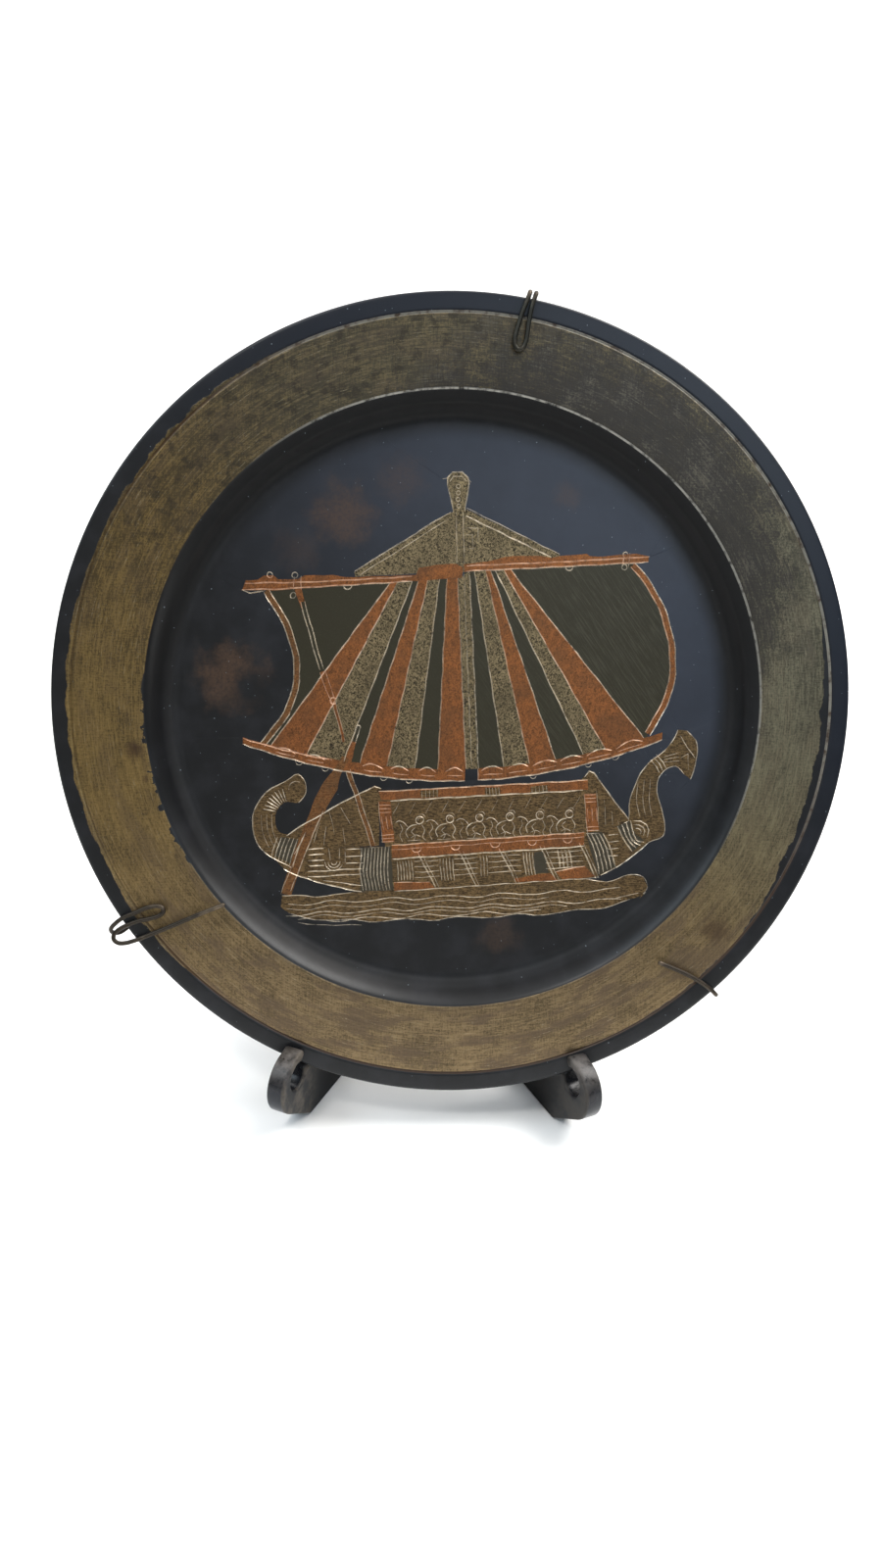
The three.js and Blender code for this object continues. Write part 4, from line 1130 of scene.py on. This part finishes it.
def band_metal(m, x, up, radius, right, high, flat):
    """The brushed brass band: its colour, its brushed marks and how bare its metal is."""
    def brushed(*way):
        """Noise drawn out into streaks by its unequal scales."""
        return m.noise(m.vector(*way), 1.0, 3, 0.7)

    around = m.noise(m.vector(radius * 2.0, right * 8, high * 8), 1.0, 4, 0.7)
    around_fine = brushed(radius * 3.4, right * 18, high * 18)
    upright = brushed(x * 2.8, up * 0.32, 0.0)
    level = brushed(x * 0.5, up * 3.4, 0.0)
    speck = m.noise(flat, 2.1, 3, 0.75)
    cloud = m.noise(flat, 0.11, 5, 0.6)
    marks = around * 0.3 + around_fine * 0.22 + upright * 0.24 + level * 0.24
    dark = m.rise(marks, 0.56, 0.44) * 0.5 + m.rise(speck, 0.46, 0.64) * 0.38
    dark = (dark + m.rise(cloud, 0.42, 0.68) * 0.3 + m.rise(high, -0.3, 0.9) * 0.48).least(1.0)
    dull = m.rise(m.noise(m.vector(radius * 0.22, right * 5, high * 5), 1.0, 4, 0.65), 0.46, 0.62)
    blotch = m.rise(m.noise(flat, 0.32, 5, 0.7), 0.5, 0.6) * m.rise(high, 0.1, 0.6)
    warm = m.rise(high, -0.2, -0.95)
    cool = m.rise(right * 0.95 + high * 0.2, 0.5, 1.0)
    tarnish = m.mix(tint(54, 46, 32), tint(50, 48, 42), cool.most(m.rise(high, 0.4, 0.9)))
    # nearly bare of brass at the upper right, more so towards the well
    toward_worn = right * 0.62 + high * 0.785 - (radius - 72) * 0.018
    toward_worn = toward_worn + (cloud - 0.5) * 0.5 + (around - 0.5) * 0.6 + (speck - 0.5) * 0.5
    worn = m.rise(toward_worn, 0.7, 0.92)
    rest = m.rise(cloud * 0.3 + marks * 0.5 + speck * 0.2, 0.5, 0.6)
    bright = m.rise(around_fine * 0.6 + speck * 0.4, 0.56, 0.68)
    colour = m.coats(
        tint(142, 118, 74),
        (tint(138, 118, 88), warm),
        (tint(126, 120, 98), cool),
        (tint(120, 108, 80), m.rise(high, 0.55, 0.95) * 0.8),
        (tarnish, dark * 0.88),
        (tint(92, 78, 64), dull * (0.2 + warm * 0.5)),
        (tint(44, 41, 35), blotch * 0.6),
        (m.mix(tint(42, 39, 36), tint(80, 75, 65), rest), worn * 0.9),
        (tint(204, 190, 158), bright * (0.3 - worn * 0.24)))
    return colour, marks, 0.88 - dark * 0.25 - worn * 0.25


def brass_edges(m, radius, right, high, flat, front):
    """Where the brass lies: from the well's edge to the turned groove, run over it at the left, crept in at
    the right and the upper left, with chipped edges."""
    drift = (m.noise(flat, 0.13, 3, 0.5) - 0.5) * 3.4 + (m.noise(flat, 0.7, 3, 0.6) - 0.5) * 1.1
    at_left = m.rise(right * 0.98 + high * 0.2, -0.72, -0.95)
    at_right = m.rise(right * 0.99 - high * 0.12, 0.9, 0.985)
    upper_left = m.rise(high * 0.68 - right * 0.73, 0.92, 0.985)
    lower_right = m.rise(right * 0.8 - high * 0.6, 0.92, 0.99)
    loose = (at_left * 0.7 + at_right + upper_left + lower_right * 0.8).least(1.0)
    outer = BAND_OUTER - 0.15 + at_left * 1.2 - at_right * 1.6
    outer = outer + upper_left * 0.9 - lower_right * 0.3 + loose * drift
    low_left = m.rise(-0.97 * right - 0.26 * high, 0.93, 0.995)
    chips = m.rise(m.noise(flat, 0.4, 3, 0.6), 0.5, 0.62) * low_left
    within = m.rise(radius - outer, 0.1, -0.1)
    return within * m.rise(radius - chips, WELL_EDGE - 0.1, WELL_EDGE + 0.12) * front


def inlay(m, x, up, flat):
    """Colour of each inlaid metal: stippled brass, hatched brass, copper and the olive field."""
    grain = m.noise(flat, 1.8, 3, 0.75, 1.4)
    strokes = m.noise(m.vector(x * 0.7 + up * 1.5, up * 0.7 - x * 1.5, 0.0), 1.7, 3, 0.7, 0.6)
    level = m.noise(m.vector(x * 0.8, up * 3.6, 0.0), 1.0, 4, 0.7, 0.5)
    worn = m.noise(m.vector(x * 0.9, up * 0.5, 0.0), 1.0, 5, 0.75)
    streak = m.noise(m.vector(x * 0.09 - up * 0.12, x * 2.4 + up * 1.8, 0.0), 1.0, 3, 0.7)
    rubbed = m.rise(m.noise(flat, 0.15, 4, 0.6), 0.42, 0.66)
    stipple = m.coats(
        tint(150, 132, 99),
        (tint(43, 39, 32), m.rise(grain * 0.65 + strokes * 0.35, 0.42, 0.58)),
        (tint(84, 74, 56), rubbed * 0.45))
    brass = m.coats(
        tint(126, 102, 70),
        (tint(46, 38, 28), m.rise(level * 0.6 + grain * 0.4, 0.42, 0.58) * 0.9),
        (tint(76, 64, 48), rubbed * 0.4))
    copper = m.coats(
        tint(156, 98, 57),
        (tint(58, 44, 35), m.rise(strokes * 0.4 + grain * 0.3 + worn * 0.3, 0.42, 0.6) * 0.78),
        (tint(92, 68, 50), rubbed * 0.4))
    shine = m.rise(streak, 0.46, 0.66) * m.rise(x, -20.0, 40.0) + m.rise(strokes, 0.5, 0.7) * 0.35
    olive = m.mix(tint(48, 45, 33), tint(76, 73, 60), shine.least(1.0) * 0.5)
    return stipple, brass, copper, olive, grain, strokes


def plate_metal():
    """Black patina, brushed brass band, and the ship's copper, brass and olive inlay with bright lines."""
    m = Finish("aged_plate_metal")
    local = m.node("ShaderNodeMapping", {"vector_type": "TEXTURE"}, {
        "Vector": m.place(), "Location": PLATE_CENTRE, "Rotation": (-LEAN, 0, 0), "Scale": (MM, MM, MM)})
    x, depth, up = m.parts(local)
    radius = (x * x + up * up) ** 0.5
    right, high = x / radius, up / radius
    flat = m.vector(x, 0.0, up)
    finish, cut = m.attribute("finish"), m.attribute("cut")
    front = m.rise(depth, 0.75, 0.6)         # 1 on the plate's front face, 0 below it and behind

    band = brass_edges(m, radius, right, high, flat, front)
    band_colour, marks, bare = band_metal(m, x, up, radius, right, high, flat)
    drift = (m.noise(flat, 0.24, 4, 0.65) - 0.5) * 1.6
    stains = spots(m, BAND_STAINS, x, up, drift)
    band_colour = m.mix(band_colour, tint(66, 50, 40), stains * 0.75)

    # the black patina with soft copper-brown rubs and a few pale specks, and painted light on it: a pale
    # painted sheen at the upper right of the floor, a painted bluish reflection on the lip and painted shade
    # on the wall at the top
    not_behind = m.rise(depth, WELL_DEPTH + 0.8, WELL_DEPTH + 0.5)
    mottle = m.noise(flat, 0.13, 4, 0.6)
    fine = m.noise(flat, 1.3, 4, 0.7)
    rub = spots(m, RUBS, x, up, drift) * (1 - spots(m, [RUB_GAP], x, up, drift)) * m.rise(fine, 0.12, 0.62)
    rub = rub * m.rise(radius, 61, 59) * not_behind
    # painted sheen: a pale bluish tone towards the upper right of the floor stands in for reflected light
    painted_sheen = m.rise(x * 0.6 + up * 0.8, -25.0, 62.0) * m.rise(radius, 60.5, 56) * not_behind
    # painted reflection: a dark bluish tone on the lip towards the top and the right
    painted_lip_reflection = m.rise(radius, 80, 82) * m.rise(x * 0.5 + up * 0.85, -10.0, 60.0)
    # painted shade: the well's wall darkened towards the top
    painted_wall_shade = m.rise(radius, 60, 61) * m.rise(radius, 66.2, 65.4)
    specks = m.rise(m.noise(flat, 2.1, 0, 0.5), 0.83, 0.86)
    black = m.coats(
        tint(18, 19, 21),
        (tint(28, 29, 32), m.rise(mottle, 0.4, 0.7)),
        (tint(50, 55, 66), painted_sheen * (0.62 + m.noise(flat, 0.1, 5, 0.65) * 0.6)),
        (tint(16, 22, 33), painted_lip_reflection * 0.85),
        (tint(10, 10, 11), painted_wall_shade * m.rise(high, -0.4, 0.3)),
        (tint(86, 66, 52), rub * 0.6),
        (tint(130, 140, 150), specks * 0.6))

    # the turned groove and the well's edge: metal rubbed bare, with a painted highlight that brightens them
    # towards the top and the right
    highlight_side = m.rise(right * 0.6 + high * 0.8, 0.1, 0.7) * m.rise(m.noise(flat, 0.5, 3, 0.6), 0.3, 0.55)
    in_groove = radius.near(BAND_OUTER, 0.3) * front
    on_edge = radius.near(WELL_EDGE + 0.02, 0.22) * front * highlight_side
    groove_colour = m.mix(tint(62, 44, 30), tint(150, 148, 138), highlight_side * 0.8)

    stipple, brass, copper, olive, grain, strokes = inlay(m, x, up, flat)
    is_brass, is_copper, is_olive = finish.near(BRASS), finish.near(COPPER), finish.near(OLIVE)
    is_stipple, is_dark, is_dull = finish.near(STIPPLE), finish.near(DARK), finish.near(DULL)
    line_shine = cut * m.rise(m.noise(flat, 0.5, 3, 0.7), 0.25, 0.62)
    colour = m.coats(
        black,
        (band_colour, band),
        (groove_colour, in_groove * (0.75 - m.rise(right, -0.7, -0.95) * 0.55)),
        (tint(176, 174, 166), on_edge * 0.7),
        (brass, is_brass),
        (copper, is_copper),
        (olive, is_olive),
        (stipple, is_stipple),
        (tint(52, 47, 36), is_dark),
        (m.mix(copper, brass, 0.25 + grain * 0.5), is_dull),
        (m.mix(tint(238, 224, 202), tint(236, 180, 146), is_copper * 0.6), line_shine * 0.8))

    inlaid = (is_brass + is_copper + is_stipple + is_dull).least(1.0)
    metal = (band * bare).most(inlaid * 0.8).most(is_olive * 0.3)
    metal = metal.most(line_shine).most(rub * 0.2).most(on_edge)
    wall_foot = m.rise(radius, 63, 61.6) * m.rise(radius, 59, 60.5)
    wall_top = m.rise(radius, 63, 63.8) * m.rise(radius, 65.7, 65.2) * m.rise(right * 0.3 + high, -0.1, 0.3)
    rough = 0.36 + band * 0.04 + inlaid * 0.06 + (fine - 0.5) * 0.12 - line_shine * 0.1
    rough = rough + wall_foot * 0.34 + wall_top * 0.4
    relief = marks * band * 1.6 + grain * (is_stipple + is_brass) * 0.9
    relief = relief + strokes * is_copper * 0.5 + fine * 0.15
    return m.surface(Base_Color=colour, Metallic=metal, Roughness=rough, Normal=m.bump(relief, 0.4, 0.00012),
                     Specular_IOR_Level=0.3)


def wire_metal():
    """Dark bronze wire with brighter rubbed stretches and fine die marks along it."""
    m = Finish("bronze_wire")
    at = m.place()
    z = m.parts(at)[2]
    patch = m.noise(at, 160, 3, 0.6)
    fine = m.noise(at, 1800, 2, 0.5)
    at_top = m.rise(z, 0.12, 0.15) * m.rise(z, 0.174, 0.17)
    colour = m.coats(
        tint(56, 51, 45),
        (tint(104, 92, 78), m.rise(patch, 0.5, 0.7)),
        (tint(60, 50, 42), m.rise(fine, 0.5, 0.7) * 0.4),
        (tint(46, 48, 44), at_top * 0.7))
    return m.surface(Base_Color=colour, Metallic=0.9, Roughness=0.34 + patch * 0.16,
                     Normal=m.bump(fine, 0.15, 0.00008))


def stand_black():
    """Satin black, faintly mottled; scuffs and a painted highlight on the hook tops, a paler mottle inside
    the hooks, the left more, a painted blue reflection on their fronts, a painted shadow and duller finish
    under the plate.
    """
    m = Finish("satin_black_stand")
    at = m.place()
    x, y, z = m.parts(at)
    mottle = m.noise(at, 70, 4, 0.6)
    fine = m.noise(at, 900, 3, 0.6)
    near_hook = m.rise(y, -0.028, -0.032) * m.rise(z, 0.0135, 0.021)
    # painted highlight: the pale scuff colour on the hook tops also stands in for their highlight
    scuff_and_highlight = m.rise(m.noise(at, 420, 4, 0.7), 0.3, 0.62) * near_hook
    aside = ((x - STAND_MIDDLE * MM) ** 2) ** 0.5
    offset = (aside - TIP_ASIDE * MM) * math.cos(STAND_TURN) + (y - TIP_AHEAD * MM) * math.sin(STAND_TURN)
    inner = m.rise(offset, 0.0009, 0.0003)
    # a paler mottle on the hooks' inner faces, stronger on the left side
    inner_pale_mottle = inner * m.rise(m.noise(at, 230, 5, 0.7), 0.36, 0.62) * m.rise(y, -0.022, -0.028)
    # painted reflection: a bluish tone on the hooks' front faces
    blue_reflection = m.rise(y, -0.0345, -0.0362) * m.rise(z, 0.004, 0.008) * m.rise(z, 0.017, 0.012) * (1 - inner)
    # painted shadow: the stand darkened where it runs back under the plate
    behind = m.rise(y, -0.03, -0.018)
    colour = m.coats(
        tint(18, 20, 24),
        (tint(44, 40, 35), m.rise(mottle, 0.42, 0.66) * 0.8),
        (tint(132, 126, 122), scuff_and_highlight * 0.5),
        (tint(92, 84, 74), inner_pale_mottle * (0.16 + m.rise(x, -0.02, -0.03) * 0.5)),
        (tint(14, 20, 32), blue_reflection * 0.7),
        (tint(10, 10, 11), behind * 0.8))
    rough = 0.2 + mottle * 0.1 + scuff_and_highlight * 0.25 + inner * 0.25 + behind * 0.3
    return m.surface(Base_Color=colour, Metallic=0.0, Roughness=rough, Normal=m.bump(fine, 0.2, 0.0001),
                     Specular_IOR_Level=0.3)


# ---- build the pieces ----
plate = make_plate()
plate.data.materials.append(plate_metal())
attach(plate, "root")
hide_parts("plate")

wire = make_wire()
wire.data.materials.append(wire_metal())
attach(wire, "root")
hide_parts("hanging_wire")

black = stand_black()
for name, node, side in (("left_stand_side", "stand_side_left", -1),
                         ("right_stand_side", "stand_side_right", 1)):
    piece = make_side(name, side)
    piece.data.materials.append(black)
    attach(piece, "root")
    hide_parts(node)


# ---- stage: pale floor that curves up behind, and soft lights ----
def make_stage():
    """Floor and backdrop in one sheet: level, a quarter circle, then upright, the same across its width."""
    reach, back, rise, width = 0.3, 0.9, 0.7, 3.0
    angle = np.linspace(0, np.pi / 2, 24)
    level = np.stack([np.linspace(-reach, back, 12), np.zeros(12)], 1)
    turn = np.stack([back + rise * np.sin(angle), rise * (1 - np.cos(angle))], 1)[1:]
    wall = np.array([[back + rise, rise + 1.5]])
    profile = np.concatenate([level, turn, wall])
    x = np.linspace(-width, width, 5)
    below_feet = 0.0001
    along, height = profile[:, :1], profile[:, 1:] - below_feet
    points = np.stack(np.broadcast_arrays(x[None, :], along, height), 2).reshape(-1, 3)
    piece = add_piece("pale_floor", points, [ring_quads(len(profile), len(x), closed=False)[:, ::-1]])
    m = Finish("pale_floor")
    piece.data.materials.append(m.surface(Base_Color=tint(246, 246, 245), Roughness=0.9))


def add_light(name, place, aim, size, power, colour):
    data = bpy.data.lights.new(name, "AREA")
    data.shape = "RECTANGLE"
    data.size, data.size_y = size
    data.energy = power
    data.color = colour
    light = bpy.data.objects.new(name, data)
    light.location = place
    light.rotation_mode = "QUATERNION"
    light.rotation_quaternion = (Vector(aim) - Vector(place)).to_track_quat("-Z", "Y")
    bpy.context.scene.collection.objects.link(light)


def add_world():
    world = bpy.data.worlds.new("soft_room")
    world.use_nodes = True
    background = world.node_tree.nodes["Background"]
    background.inputs["Color"].default_value = tint(214, 218, 226)
    background.inputs["Strength"].default_value = 0.1
    bpy.context.scene.world = world


make_stage()
add_light("overhead_light", (0.1, 0.55, 1.9), (0.1, 0.55, 0), (2.4, 3.0), 31, (1, 0.99, 0.97))
add_light("high_light", (0.73, 0.14, 1.12), (0, 0, 0.07), (0.9, 0.8), 23, (1, 0.98, 0.95))
add_light("window_light", (0.42, -1.08, 0.85), (0, 0, 0.09), (0.7, 0.6), 4.3, (0.76, 0.88, 1))
add_light("front_fill", (-0.5, -1.5, 0.5), (0, 0, 0.06), (2.0, 1.2), 2.2, (1, 0.95, 0.86))
add_light("left_light", (-0.9, -0.3, 0.95), (0, 0, 0.07), (0.7, 0.7), 6, (0.78, 0.9, 1))
add_light("key_light", (-0.45, -0.65, 1.25), (0, 0, 0.08), (0.16, 0.16), 4, (1, 0.97, 0.92))
add_light("back_light", (-0.2, 1.0, 1.5), (0, 1.3, 0), (2.4, 0.8), 10, (1, 1, 1))
add_world()
bpy.context.scene.view_settings.view_transform = "Standard"
